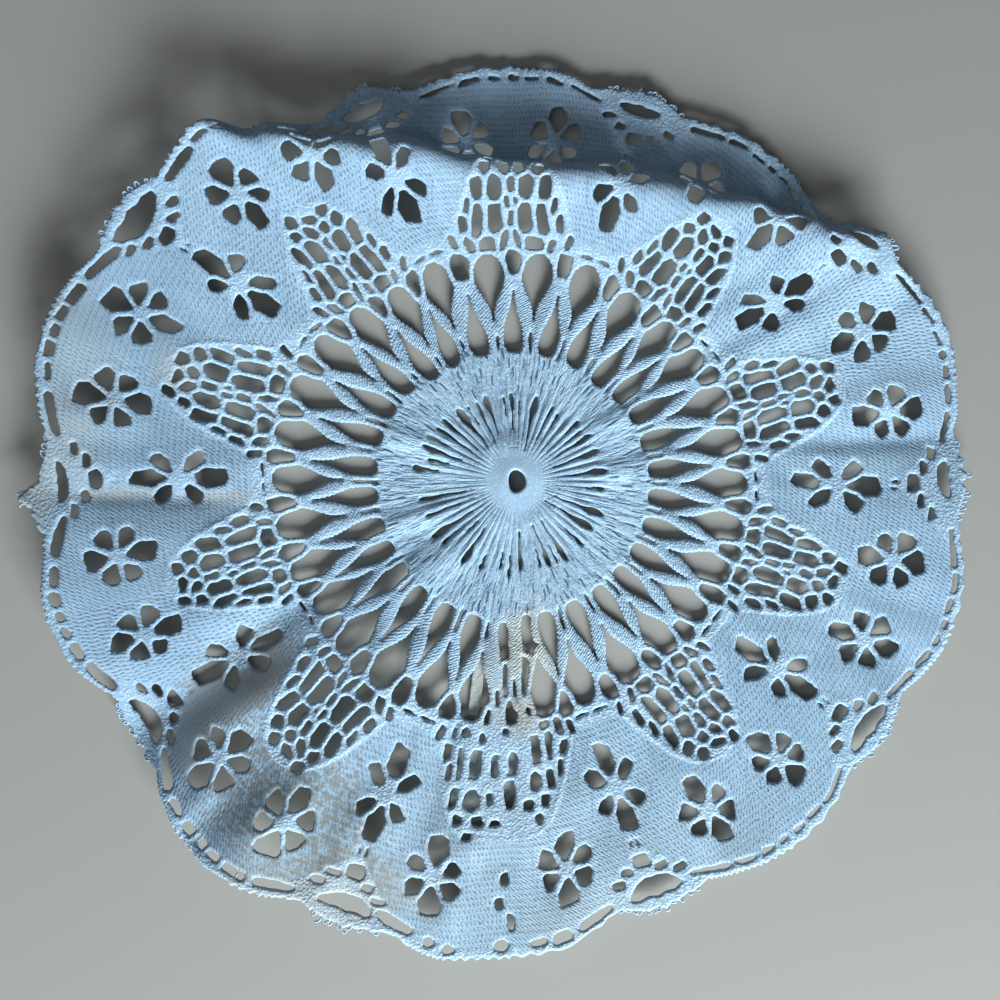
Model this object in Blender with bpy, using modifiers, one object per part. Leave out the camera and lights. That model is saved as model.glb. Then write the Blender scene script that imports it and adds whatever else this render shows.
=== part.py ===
"""A round doily of bobbin lace, lying on a surface. Metres, +Z up, origin at the middle of its footprint.

The lace is a strip gathered to a small hole at its middle, its two ends joined at one radial seam. It has
ten repeats. Each repeat has a wedge of net between two lobes of cloth stitch, three flowers of six holes,
three large drops, three small drops and an eyelet at the valley of the scalloped edge.

The lace is charted flat, in degrees round the doily and millimetres from the centre of the hole. The chart
is triangulated with its holes open, laid on its folds, and thickened upwards.
"""

import math

import bpy
import numpy as np
from mathutils import Vector
from mathutils.geometry import delaunay_2d_cdt

MM = 0.001
REPEATS = 10
REPEAT_DEG = 360.0 / REPEATS

# Driving dimensions, in millimetres.
SHEET = 1.0
CROWN_RADIUS = 76.0
VALLEY_RADIUS = 74.0
NECK_RADIUS = 72.8
HUB_HOLE_RADIUS = 1.7
HUB_RISE = 1.2
HUB_RADIUS = 11.0

# Where the charted lace is pulled to full width, from the hub outwards.
PULL_START = 5.0
PULL_END = 22.0

# The lace is gathered unevenly: where each chart degree lies, as a direction seen from above.
SEAM_CHART_DEG = 252.0
GATHER = (
    # chart_deg, direction_deg
    (0.0, 17.0),
    (18.0, 34.8),
    (36.0, 51.0),
    (54.0, 70.8),
    (72.0, 90.8),
    (90.0, 111.8),
    (108.0, 128.0),
    (126.0, 144.5),
    (144.0, 162.2),
    (162.0, 179.3),
    (180.0, 196.8),
    (198.0, 212.1),
    (216.0, 229.0),
    (234.0, 247.4),
    (246.0, 258.6),
    (249.6, 261.4),
    (252.0, 269.4),
    (254.4, 273.7),
    (258.0, 276.9),
    (270.0, 288.0),
    (288.0, 307.4),
    (306.0, 324.3),
    (324.0, 342.1),
    (342.0, 359.6),
    (360.0, 377.0),
)

# How the doily lies. Along each direction the cloth rises from its foot to a ridge, then falls.
FOLDS = (
    # direction_deg, reach, foot_mm, ridge_mm, height_mm, fall_mm, drop_mm
    (6.0, 0.997, 38.0, 76.0, 0.8, 0.0, 9.0),
    (14.0, 0.988, 35.0, 76.0, 1.6, 0.0, 9.0),
    (24.0, 0.988, 33.0, 76.0, 3.0, 0.0, 8.0),
    (31.0, 0.985, 33.0, 72.0, 5.2, 2.0, 7.0),
    (40.0, 0.965, 33.0, 63.5, 6.6, 5.5, 7.0),
    (47.0, 0.955, 33.0, 59.5, 7.0, 6.2, 7.5),
    (58.0, 0.955, 31.0, 54.0, 7.2, 6.3, 10.0),
    (71.0, 0.980, 30.0, 51.6, 7.6, 6.9, 10.5),
    (84.0, 0.985, 30.0, 50.4, 8.0, 7.5, 9.8),
    (91.0, 0.985, 30.0, 50.8, 8.2, 8.2, 9.8),
    (98.0, 0.985, 30.0, 52.0, 8.3, 7.8, 9.8),
    (112.0, 1.010, 30.0, 57.3, 8.5, 7.7, 12.0),
    (119.0, 0.990, 31.0, 61.5, 8.7, 7.3, 10.0),
    (127.0, 0.995, 32.0, 69.0, 9.0, 5.5, 7.5),
    (134.0, 1.030, 32.0, 79.0, 9.2, 0.0, 8.0),
    (145.0, 1.060, 32.0, 78.0, 7.0, 0.0, 9.0),
    (158.0, 1.065, 32.0, 78.0, 5.4, 0.0, 9.0),
    (170.0, 1.065, 33.0, 78.0, 4.6, 0.0, 9.0),
    (180.0, 1.052, 33.0, 78.0, 3.6, 0.0, 9.0),
    (191.0, 1.050, 30.0, 78.0, 4.8, 0.0, 9.0),
    (203.0, 1.045, 26.0, 78.0, 3.6, 0.0, 9.0),
    (213.0, 1.025, 30.0, 78.0, 0.0, 0.0, 9.0),
    (223.0, 1.050, 26.0, 78.0, 3.2, 0.0, 9.0),
    (236.0, 1.060, 26.0, 78.0, 6.2, 0.0, 9.0),
    (248.0, 1.048, 30.0, 78.0, 5.0, 0.0, 9.0),
    (259.0, 1.050, 34.0, 78.0, 2.8, 0.0, 9.0),
    (270.0, 1.030, 32.0, 76.0, 1.6, 0.0, 9.0),
    (288.0, 1.004, 32.0, 76.0, 0.9, 0.0, 9.0),
    (306.0, 0.992, 36.0, 76.0, 1.4, 0.0, 9.0),
    (318.0, 1.000, 38.0, 76.0, 1.0, 0.0, 9.0),
    (328.0, 1.003, 38.0, 76.0, 0.7, 0.0, 9.0),
    (334.7, 1.003, 38.0, 76.0, 0.0, 0.0, 9.0),
    (341.5, 1.004, 38.0, 76.0, 0.8, 0.0, 9.0),
    (348.0, 1.004, 38.0, 76.0, 1.5, 0.0, 9.0),
    (355.0, 1.004, 38.0, 76.0, 2.0, 0.0, 9.0),
)
RISE_POWER = 1.5
FOLD_SOFTNESS = 1.3
STEEPEST = 0.96

# The gathers of the hub: ribs that run outwards, raised on both faces.
HUB_RIBS = 40
RIB_INNER = 3.4
RIB_OUTER = 13.0
RIB_RISE = 0.45
RIB_FADE = 0.5

# The net wedge, its tip outwards. A hole spans two gaps of the real net each way.
WEDGE_HOLES = (
    # side_deg, inner_mm, outer_mm, inner_width_mm, outer_width_mm
    (-4.5, 41.9, 46.2, 4.5, 4.0),
    (4.9, 41.9, 46.2, 4.5, 4.0),
    (-4.1, 47.9, 51.3, 4.1, 3.4),
    (4.4, 47.9, 51.3, 4.1, 3.4),
    (0.0, 52.7, 54.9, 5.6, 3.4),
)

# A flower's six holes, from its middle: across, outwards, and the hole's inner and outer widths.
OUTER_FLOWER = (
    # across_mm, middle_mm, length_mm, inner_width_mm, outer_width_mm
    (0.0, 3.6, 3.0, 1.5, 3.1),
    (0.0, -4.3, 3.8, 3.0, 1.2),
    (-2.75, 1.5, 2.2, 2.2, 2.7),
    (2.75, 1.5, 2.2, 2.2, 2.7),
    (-2.7, -2.1, 2.6, 2.6, 2.0),
    (2.7, -2.1, 2.6, 2.6, 2.0),
)
INNER_FLOWER = (
    # across_mm, middle_mm, length_mm, inner_width_mm, outer_width_mm
    (0.0, 4.3, 5.6, 1.3, 2.7),
    (0.0, -6.0, 4.6, 2.9, 1.3),
    (-2.4, 1.5, 3.0, 1.9, 2.3),
    (2.4, 1.5, 3.0, 1.9, 2.3),
    (-2.4, -3.1, 3.4, 2.4, 2.0),
    (2.4, -3.1, 3.4, 2.4, 2.0),
)
CORNER_CUT = 0.28
END_SHARE = 0.32
OUTER_FLOWER_SIDE_DEG = 6.5
OUTER_FLOWER_RADIUS = 63.5
INNER_FLOWER_RADIUS = 53.8

# The two rings of drops between the hub and the net.
LARGE_DROP_SIDES_DEG = (-6.0, 6.0, 18.0)
SMALL_DROP_SIDES_DEG = (-12.0, 0.0, 12.0)
LARGE_DROP = {"inner_mm": 28.2, "outer_mm": 38.0, "width_mm": 4.9, "widest": 0.68, "sides": 10}
SMALL_DROP = {"inner_mm": 21.9, "outer_mm": 29.6, "width_mm": 3.0, "widest": 0.30, "sides": 8}

DROP_POINTED = 0.9
DROP_ROUND = 0.5

# The eyelet under the valley of the edge.
EYELET_RADIUS = 71.2
EYELET_WIDTH = 8.0
EYELET_LENGTH = 3.0
EYELET_SIDES = 8

# The cleft that the seam leaves in the edge.
CLEFT_DEPTH = 8.0
CLEFT_HALF_DEG = 0.3
CLEFT_LIP = 0.4

# Points of the triangulated chart.
OUTLINE_STEPS = 24
HUB_HOLE_STEPS = 12
FILL_SPACING = 6.1
FILL_RING_STEP = 0.8 * FILL_SPACING
FILL_CLEARANCE = 1.5

# The laid tables: a row each degree round, a column each half millimetre out.
ALONG_STEP = 0.5
ALONG_END = 90.0
SOFTEN_STEPS = 6
LIFTED = 0.03


def direction_of(chart_deg):
    """The direction, seen from above, in which a chart degree lies."""
    charted, lying = np.array(GATHER).T
    turns = np.floor_divide(chart_deg, 360.0)
    return np.interp(chart_deg - 360.0 * turns, charted, lying) + 360.0 * turns


def eased(direction_deg, column):
    """A column of FOLDS at any direction, eased between rows so that each row is a crest or a trough."""
    rows = np.array(FOLDS)
    places = np.concatenate([rows[-1:, 0] - 360.0, rows[:, 0], rows[:1, 0] + 360.0])
    values = np.concatenate([rows[-1:, column], rows[:, column], rows[:1, column]])
    wrapped = np.mod(direction_deg - rows[0, 0], 360.0) + rows[0, 0]
    after = np.clip(np.searchsorted(places, wrapped, side="right"), 1, len(places) - 1)
    share = (wrapped - places[after - 1]) / (places[after] - places[after - 1])
    return values[after - 1] + (values[after] - values[after - 1]) * share * share * (3.0 - 2.0 * share)


def laid_table():
    """Plan radius and height of the laid cloth, for each direction and each distance along the cloth."""
    directions = np.arange(0.0, 361.0, 1.0)
    along = np.arange(0.0, ALONG_END + ALONG_STEP, ALONG_STEP)
    foot, ridge, height, fall, drop = (eased(directions, c)[:, None] for c in (2, 3, 4, 5, 6))
    rise = np.clip((along[None] - foot) / (ridge - foot), 0.0, 1.0) ** RISE_POWER
    past = np.clip((along[None] - ridge) / drop, 0.0, 1.0)
    lift = height * rise - fall * past * past * (3.0 - 2.0 * past)
    spread = ALONG_STEP * np.arange(-SOFTEN_STEPS, SOFTEN_STEPS + 1)
    weights = np.exp(-0.5 * (spread / FOLD_SOFTNESS) ** 2)
    weights /= weights.sum()
    padded = np.pad(lift, ((0, 0), (SOFTEN_STEPS, SOFTEN_STEPS)), mode="edge")
    softened = np.stack([np.convolve(row, weights, mode="valid") for row in padded])
    softened[softened < LIFTED] = 0.0
    slope = np.clip(np.diff(softened, axis=1) / ALONG_STEP, -STEEPEST, STEEPEST)
    plan = np.cumsum(np.sqrt(1.0 - slope * slope) * ALONG_STEP, axis=1)
    return np.concatenate([np.zeros((len(directions), 1)), plan], axis=1), softened


LAID_PLAN, LAID_HEIGHT = laid_table()


def read_table(table, direction_deg, along_mm):
    """Bilinear reading of a laid table, which has a row a degree and a column each half millimetre."""
    row = np.mod(direction_deg, 360.0)
    column = np.clip(along_mm / ALONG_STEP, 0.0, table.shape[1] - 1.001)
    r0, c0 = np.floor(row).astype(int), np.floor(column).astype(int)
    fr, fc = row - r0, column - c0
    near = table[r0, c0] * (1.0 - fc) + table[r0, c0 + 1] * fc
    far = table[r0 + 1, c0] * (1.0 - fc) + table[r0 + 1, c0 + 1] * fc
    return near * (1.0 - fr) + far * fr


def lay(chart_deg, out_mm):
    """Lays charted points on the folds. Returns x, y and z in millimetres from the hub."""
    direction = direction_of(chart_deg)
    pull = np.clip((out_mm - PULL_START) / (PULL_END - PULL_START), 0.0, 1.0)
    along = out_mm * (1.0 + (eased(direction, 1) - 1.0) * pull * pull * (3.0 - 2.0 * pull))
    plan = read_table(LAID_PLAN, direction, along)
    hub = HUB_RISE * np.cos(0.5 * math.pi * np.clip(out_mm / HUB_RADIUS, 0.0, 1.0)) ** 2
    rib_places = (HUB_HOLE_RADIUS, RIB_INNER, RIB_OUTER, RIB_OUTER + RIB_FADE)
    ribs = np.interp(out_mm, rib_places, (0.0, 1.0, 1.0, 0.0))
    hub += RIB_RISE * ribs * (0.5 + 0.5 * np.cos(np.radians(HUB_RIBS * chart_deg)))
    angle = np.radians(direction)
    return plan * np.cos(angle), plan * np.sin(angle), read_table(LAID_HEIGHT, direction, along) + hub


def edge_radius(side_deg):
    """Radius of the scalloped edge, by the angle from a wedge's middle."""
    away = np.abs(np.mod(side_deg + 0.5 * REPEAT_DEG, REPEAT_DEG) - 0.5 * REPEAT_DEG)
    places = (0.0, 3.0, 6.5, 10.0, 13.0, 15.5, 18.0)
    crown, neck, valley = CROWN_RADIUS, NECK_RADIUS, VALLEY_RADIUS
    radii = (crown, crown - 0.2, crown - 1.3, neck + 0.5, neck, neck + 0.3, valley)
    return np.interp(away, places, radii)


def outline():
    """The scalloped edge, with the cleft of the seam, as chart points."""
    points = []
    for step in range(REPEATS * OUTLINE_STEPS):
        chart_deg = step * REPEAT_DEG / OUTLINE_STEPS
        if chart_deg != SEAM_CHART_DEG:
            points.append((chart_deg, float(edge_radius(chart_deg))))
            continue
        mouth = CROWN_RADIUS - CLEFT_LIP
        points.append((SEAM_CHART_DEG - CLEFT_HALF_DEG, mouth))
        points.append((SEAM_CHART_DEG, CROWN_RADIUS - CLEFT_DEPTH))
        points.append((SEAM_CHART_DEG + CLEFT_HALF_DEG, mouth))
    return points


def about(chart_deg, radius, across_out):
    """Chart points from offsets in millimetres, across and outwards, about a chart place."""
    return [
        (chart_deg + math.degrees(across / (radius + out)), radius + out)
        for across, out in across_out
    ]


def window(chart_deg, radius, across, length, inner_width, outer_width):
    """A six-sided hole, tapering between its inner and outer ends, with the wider end's corners cut."""
    inner, outer = -0.5 * length, 0.5 * length
    if inner_width > outer_width:
        cut, wide, narrow, end, far = CORNER_CUT * length, inner_width, outer_width, inner, outer
    else:
        cut, wide, narrow, end, far = -CORNER_CUT * length, outer_width, inner_width, outer, inner
    corners = [
        (across - 0.5 * narrow, far),
        (across + 0.5 * narrow, far),
        (across + 0.5 * wide, end + cut),
        (across + END_SHARE * wide, end),
        (across - END_SHARE * wide, end),
        (across - 0.5 * wide, end + cut),
    ]
    return about(chart_deg, radius, corners)


def flower(chart_deg, radius, holes):
    """The six holes that leave a flower's spokes between them."""
    return [
        window(chart_deg, radius + middle, across, length, inner, outer)
        for across, middle, length, inner, outer in holes
    ]


def drop(chart_deg, size):
    """A drop-shaped hole. Its widest part lies at a share of its length from the inner end."""
    length, peak = size["outer_mm"] - size["inner_mm"], size["widest"]
    inner_power, outer_power = (DROP_POINTED, DROP_ROUND) if peak > 0.5 else (DROP_ROUND, DROP_POINTED)
    points = []
    for step in range(size["sides"]):
        turn = 2.0 * math.pi * step / size["sides"]
        share = 0.5 - 0.5 * math.cos(turn)
        if share < peak:
            swell = (share / peak) ** inner_power
        else:
            swell = ((1.0 - share) / (1.0 - peak)) ** outer_power
        points.append((math.copysign(0.5 * size["width_mm"] * swell, math.pi - turn), share * length))
    return about(chart_deg, size["inner_mm"], points)


def oval(chart_deg, radius, width, length, sides):
    """An oval hole."""
    turns = [2.0 * math.pi * (step + 0.5) / sides for step in range(sides)]
    across_out = [(0.5 * width * math.sin(turn), 0.5 * length * math.cos(turn)) for turn in turns]
    return about(chart_deg, radius, across_out)


def repeat_holes(chart_deg):
    """Every hole of one repeat, about the middle of its wedge. The seam closes the two on its line."""
    is_seam = chart_deg == SEAM_CHART_DEG
    holes = [drop(chart_deg + side, LARGE_DROP) for side in LARGE_DROP_SIDES_DEG]
    holes += [drop(chart_deg + side, SMALL_DROP) for side in SMALL_DROP_SIDES_DEG if side or not is_seam]
    for side, inner, outer, inner_width, outer_width in WEDGE_HOLES:
        if side or not is_seam:
            middle, length = 0.5 * (inner + outer), outer - inner
            holes.append(window(chart_deg + side, middle, 0.0, length, inner_width, outer_width))
    for side in (-OUTER_FLOWER_SIDE_DEG, OUTER_FLOWER_SIDE_DEG):
        holes += flower(chart_deg + side, OUTER_FLOWER_RADIUS, OUTER_FLOWER)
    valley = chart_deg + 0.5 * REPEAT_DEG
    holes += flower(valley, INNER_FLOWER_RADIUS, INNER_FLOWER)
    holes.append(oval(valley, EYELET_RADIUS, EYELET_WIDTH, EYELET_LENGTH, EYELET_SIDES))
    return holes


def all_holes():
    """The hub's hole and the holes of the ten repeats, as lists of chart points."""
    step = 360.0 / HUB_HOLE_STEPS
    holes = [[(k * step, HUB_HOLE_RADIUS) for k in range(HUB_HOLE_STEPS)]]
    for k in range(REPEATS):
        holes += repeat_holes(k * REPEAT_DEG)
    return holes


def flat(points):
    """Chart points as flat x, y in millimetres, running anticlockwise."""
    degrees, out = np.array(points).T
    angle = np.radians(degrees)
    loop = np.stack([out * np.cos(angle), out * np.sin(angle)], axis=1)
    after = np.roll(loop, -1, axis=0)
    turning = (loop[:, 0] * after[:, 1] - loop[:, 1] * after[:, 0]).sum()
    return loop if turning > 0.0 else loop[::-1]


def rib_points():
    """The ends of the hub's crests and troughs, an inner and an outer end for each."""
    turns = [math.pi * k / HUB_RIBS for k in range(2 * HUB_RIBS)]
    ends = [(r * math.cos(turn), r * math.sin(turn)) for turn in turns for r in (RIB_INNER, RIB_OUTER)]
    return np.array(ends)


def fill_points(loops):
    """Staggered rings of points outside the hub that keep clear of every edge."""
    edges_from = np.concatenate(loops)
    edges_to = np.concatenate([np.roll(loop, -1, axis=0) for loop in loops])
    run = edges_to - edges_from
    kept = []
    for ring in range(1, int(CROWN_RADIUS / FILL_RING_STEP) + 1):
        radius = ring * FILL_RING_STEP
        count = REPEATS * max(1, round(2.0 * math.pi * radius / FILL_SPACING / REPEATS))
        for k in range(count):
            turn = 2.0 * math.pi * (k + 0.5 * (ring % 2)) / count
            reach = edge_radius(math.degrees(turn)) - FILL_CLEARANCE
            if not RIB_OUTER + FILL_CLEARANCE < radius < reach:
                continue
            place = np.array([radius * math.cos(turn), radius * math.sin(turn)])
            share = np.clip(((place - edges_from) * run).sum(1) / (run * run).sum(1), 0.0, 1.0)
            gap = np.linalg.norm(edges_from + run * share[:, None] - place, axis=1).min()
            if gap > FILL_CLEARANCE:
                kept.append(place)
    return np.array(kept)


def triangulate(edge, holes):
    """Triangles of the flat chart between its edge and its holes."""
    loops = [flat(edge)] + [flat(hole) for hole in holes]
    ribs = rib_points()
    places = np.concatenate(loops + [ribs, fill_points(loops)])
    points = [Vector((float(x), float(y))) for x, y in places]
    faces, start = [], 0
    for loop in loops:
        faces.append(list(range(start, start + len(loop))))
        start += len(loop)
    creases = [(k, k + 1) for k in range(start, start + len(ribs), 2)]
    made = delaunay_2d_cdt(points, creases, faces, 1, 1e-6)
    cloth = [face for face, sources in zip(made[2], made[5]) if list(sources) == [0]]
    return made[0], cloth


def lace_material():
    """Cool white cotton."""
    material = bpy.data.materials.new("lace_cotton")
    material.use_nodes = True
    shader = material.node_tree.nodes["Principled BSDF"]
    shader.inputs["Base Color"].default_value = (0.74, 0.78, 0.80, 1.0)
    shader.inputs["Roughness"].default_value = 0.9
    shader.inputs["Metallic"].default_value = 0.0
    return material


def make_doily(collection):
    """The lace as one sheet, thickened upwards from its underside."""
    places, cloth = triangulate(outline(), all_holes())
    plan = np.array([(p.x, p.y) for p in places])
    chart_deg = np.mod(np.degrees(np.arctan2(plan[:, 1], plan[:, 0])), 360.0)
    x, y, z = lay(chart_deg, np.hypot(plan[:, 0], plan[:, 1]))
    middle_x, middle_y = 0.5 * (x.min() + x.max()), 0.5 * (y.min() + y.max())
    laid = np.stack([x - middle_x, y - middle_y, z], axis=1) * MM
    mesh = bpy.data.meshes.new("doily_lace")
    mesh.from_pydata([tuple(float(c) for c in p) for p in laid], [], [tuple(face) for face in cloth])
    mesh.materials.append(lace_material())
    doily = bpy.data.objects.new("doily_lace", mesh)
    collection.objects.link(doily)
    thickness = doily.modifiers.new("thickness", "SOLIDIFY")
    thickness.thickness = SHEET * MM
    thickness.offset = 1.0
    return doily


def main():
    for thing in list(bpy.data.objects):
        bpy.data.objects.remove(thing, do_unlink=True)
    collection = bpy.data.collections.new("lace_doily")
    bpy.context.scene.collection.children.link(collection)
    make_doily(collection)


main()
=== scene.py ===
"""The looks of a round doily of bobbin lace: cloth stitch, net, leaf bars, gathered middle and braided edge.

Lengths are millimetres from the middle of the lace's own small hole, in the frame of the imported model, and
become metres when a mesh is made. Angles are degrees, anticlockwise from +X seen from above.
"""

import math

import bpy
import numpy as np
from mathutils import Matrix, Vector


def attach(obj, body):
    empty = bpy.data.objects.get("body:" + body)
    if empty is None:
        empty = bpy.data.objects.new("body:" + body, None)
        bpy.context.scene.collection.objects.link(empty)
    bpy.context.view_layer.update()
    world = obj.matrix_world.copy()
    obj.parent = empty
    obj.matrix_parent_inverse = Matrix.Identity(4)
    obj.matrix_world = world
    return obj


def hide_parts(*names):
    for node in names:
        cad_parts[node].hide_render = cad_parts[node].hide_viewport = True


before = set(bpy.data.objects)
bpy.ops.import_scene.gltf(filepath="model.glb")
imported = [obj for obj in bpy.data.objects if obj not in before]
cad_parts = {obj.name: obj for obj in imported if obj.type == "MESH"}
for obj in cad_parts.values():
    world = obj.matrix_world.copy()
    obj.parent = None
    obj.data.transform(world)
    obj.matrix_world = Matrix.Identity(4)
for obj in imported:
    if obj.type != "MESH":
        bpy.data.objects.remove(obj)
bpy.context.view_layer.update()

MM = 0.001
NODE = "doily_lace"
HUB_X, HUB_Y = 1.833, 4.806  # where the middle hole lies in the frame

REPEATS = 10
REPEAT_DEG = 360.0 / REPEATS
SEED = 11

# ---- How the lace lies: the same gathers and folds as its solid ----

SEAM_CHART_DEG = 252.0
GATHER = (
    # chart_deg, direction_deg
    (0.0, 17.0), (18.0, 34.8), (36.0, 51.0), (54.0, 70.8), (72.0, 90.8), (90.0, 111.8), (108.0, 128.0),
    (126.0, 144.5), (144.0, 162.2), (162.0, 179.3), (180.0, 196.8), (198.0, 212.1), (216.0, 229.0),
    (234.0, 247.4), (246.0, 258.6), (249.6, 261.4), (252.0, 269.4), (254.4, 273.7), (258.0, 276.9),
    (270.0, 288.0), (288.0, 307.4), (306.0, 324.3), (324.0, 342.1), (342.0, 359.6), (360.0, 377.0),
)
FOLDS = (
    # direction_deg, reach, foot_mm, ridge_mm, height_mm, fall_mm, drop_mm
    (6.0, 0.997, 38.0, 76.0, 0.8, 0.0, 9.0),
    (14.0, 0.988, 35.0, 76.0, 1.6, 0.0, 9.0),
    (24.0, 0.988, 33.0, 76.0, 3.0, 0.0, 8.0),
    (31.0, 0.985, 33.0, 72.0, 5.2, 2.0, 7.0),
    (40.0, 0.965, 33.0, 63.5, 6.6, 5.5, 7.0),
    (47.0, 0.955, 33.0, 59.5, 7.0, 6.2, 7.5),
    (58.0, 0.955, 31.0, 54.0, 7.2, 6.3, 10.0),
    (71.0, 0.980, 30.0, 51.6, 7.6, 6.9, 10.5),
    (84.0, 0.985, 30.0, 50.4, 8.0, 7.5, 9.8),
    (91.0, 0.985, 30.0, 50.8, 8.2, 8.2, 9.8),
    (98.0, 0.985, 30.0, 52.0, 8.3, 7.8, 9.8),
    (112.0, 1.010, 30.0, 57.3, 8.5, 7.7, 12.0),
    (119.0, 0.990, 31.0, 61.5, 8.7, 7.3, 10.0),
    (127.0, 0.995, 32.0, 69.0, 9.0, 5.5, 7.5),
    (134.0, 1.030, 32.0, 79.0, 9.2, 0.0, 8.0),
    (145.0, 1.060, 32.0, 78.0, 7.0, 0.0, 9.0),
    (158.0, 1.065, 32.0, 78.0, 5.4, 0.0, 9.0),
    (170.0, 1.065, 33.0, 78.0, 4.6, 0.0, 9.0),
    (180.0, 1.052, 33.0, 78.0, 3.6, 0.0, 9.0),
    (191.0, 1.050, 30.0, 78.0, 4.8, 0.0, 9.0),
    (203.0, 1.045, 26.0, 78.0, 3.6, 0.0, 9.0),
    (213.0, 1.025, 30.0, 78.0, 0.0, 0.0, 9.0),
    (223.0, 1.050, 26.0, 78.0, 3.2, 0.0, 9.0),
    (236.0, 1.060, 26.0, 78.0, 6.2, 0.0, 9.0),
    (248.0, 1.048, 30.0, 78.0, 5.0, 0.0, 9.0),
    (259.0, 1.050, 34.0, 78.0, 2.8, 0.0, 9.0),
    (270.0, 1.030, 32.0, 76.0, 1.6, 0.0, 9.0),
    (288.0, 1.004, 32.0, 76.0, 0.9, 0.0, 9.0),
    (306.0, 0.992, 36.0, 76.0, 1.4, 0.0, 9.0),
    (318.0, 1.000, 38.0, 76.0, 1.0, 0.0, 9.0),
    (328.0, 1.003, 38.0, 76.0, 0.7, 0.0, 9.0),
    (334.7, 1.003, 38.0, 76.0, 0.0, 0.0, 9.0),
    (341.5, 1.004, 38.0, 76.0, 0.8, 0.0, 9.0),
    (348.0, 1.004, 38.0, 76.0, 1.5, 0.0, 9.0),
    (355.0, 1.004, 38.0, 76.0, 2.0, 0.0, 9.0),
)
REACH, FOOT, RIDGE, HEIGHT, FALL, DROP = range(1, 7)  # the columns of FOLDS
PULL_START, PULL_END = 5.0, 22.0
RISE_POWER = 1.5
FOLD_SOFTNESS = 1.3
STEEPEST = 0.96
ALONG_STEP, ALONG_END = 0.5, 90.0
SOFTEN_STEPS = 6
LIFTED = 0.03
HUB_RISE, HUB_RADIUS = 1.2, 11.0
MID_LIFT = 0.45  # the middle of the lace's thickness, above the solid's underside
LOWEST_MIDDLE = 0.3

# Small undulations: how many round, mm a wave outwards, height, and the radii where they fade in.
RIPPLES = (
    # waves_round, out_mm, height_mm, phase_deg, from_mm, full_mm
    (31, 60.0, 0.14, 20.0, 16.0, 26.0),
    (47, 43.0, 0.10, 130.0, 16.0, 30.0),
    (13, 21.0, 0.16, 250.0, 34.0, 50.0),
    (23, 13.0, 0.09, 75.0, 40.0, 56.0),
    (7, 17.0, 0.14, 310.0, 40.0, 60.0),
)

# Soft creases: a ridge (or, below 0, a groove) along a line, from place to place seen from above.
CREASES = (
    # x1_mm, y1_mm, x2_mm, y2_mm, half_width_mm, height_mm
    (-25.5, -20.0, -54.0, -44.5, 4.8, 0.85),
    (-31.0, -15.0, -58.0, -37.0, 3.0, -0.35),
    (-30.0, -48.0, -44.0, -60.0, 3.0, 0.6),
    (-9.0, -3.6, -25.0, -8.8, 1.7, 0.65),
    (-5.0, -7.5, -25.0, -22.0, 3.2, 0.95),
    (-14.0, -26.0, -40.0, -46.0, 9.5, 1.35),
    (-11.0, 5.0, -26.0, 9.5, 1.8, 0.55),
    (10.0, 7.5, 26.0, 13.5, 1.8, 0.55),
    (11.0, 0.6, 27.0, 3.6, 1.8, 0.5),
    (-44.0, -3.0, -76.0, -2.2, 1.6, -0.45),
    (-40.0, 1.5, -78.0, 3.5, 3.0, 0.5),
    (-60.0, 10.0, -74.0, 12.0, 3.0, 0.45),
    (-46.0, 18.0, -70.0, 26.0, 4.0, 0.5),
    (40.0, 6.0, 74.0, 7.5, 1.8, -0.4),
    (42.0, 12.0, 70.0, 16.0, 3.5, 0.4),
    (-8.0, -58.0, -12.0, -74.0, 2.6, 0.6),
    (13.0, -48.0, 22.0, -70.0, 3.4, 0.45),
    (-22.0, -50.0, -34.0, -70.0, 3.0, 0.7),
    (-46.0, -46.0, -58.0, -58.0, 2.4, 0.6),
)
CREASE_END = 0.15  # the share of its height that a crease has at its ends
SEAM_LIFT = 0.4
SEAM_SIDES = ((255.0, 258.5), (271.0, 277.0))  # the directions over which it rises and falls
SEAM_REACH = ((24.0, 30.0), (57.0, 62.0))  # and the radii

# ---- The gathered middle ----

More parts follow.
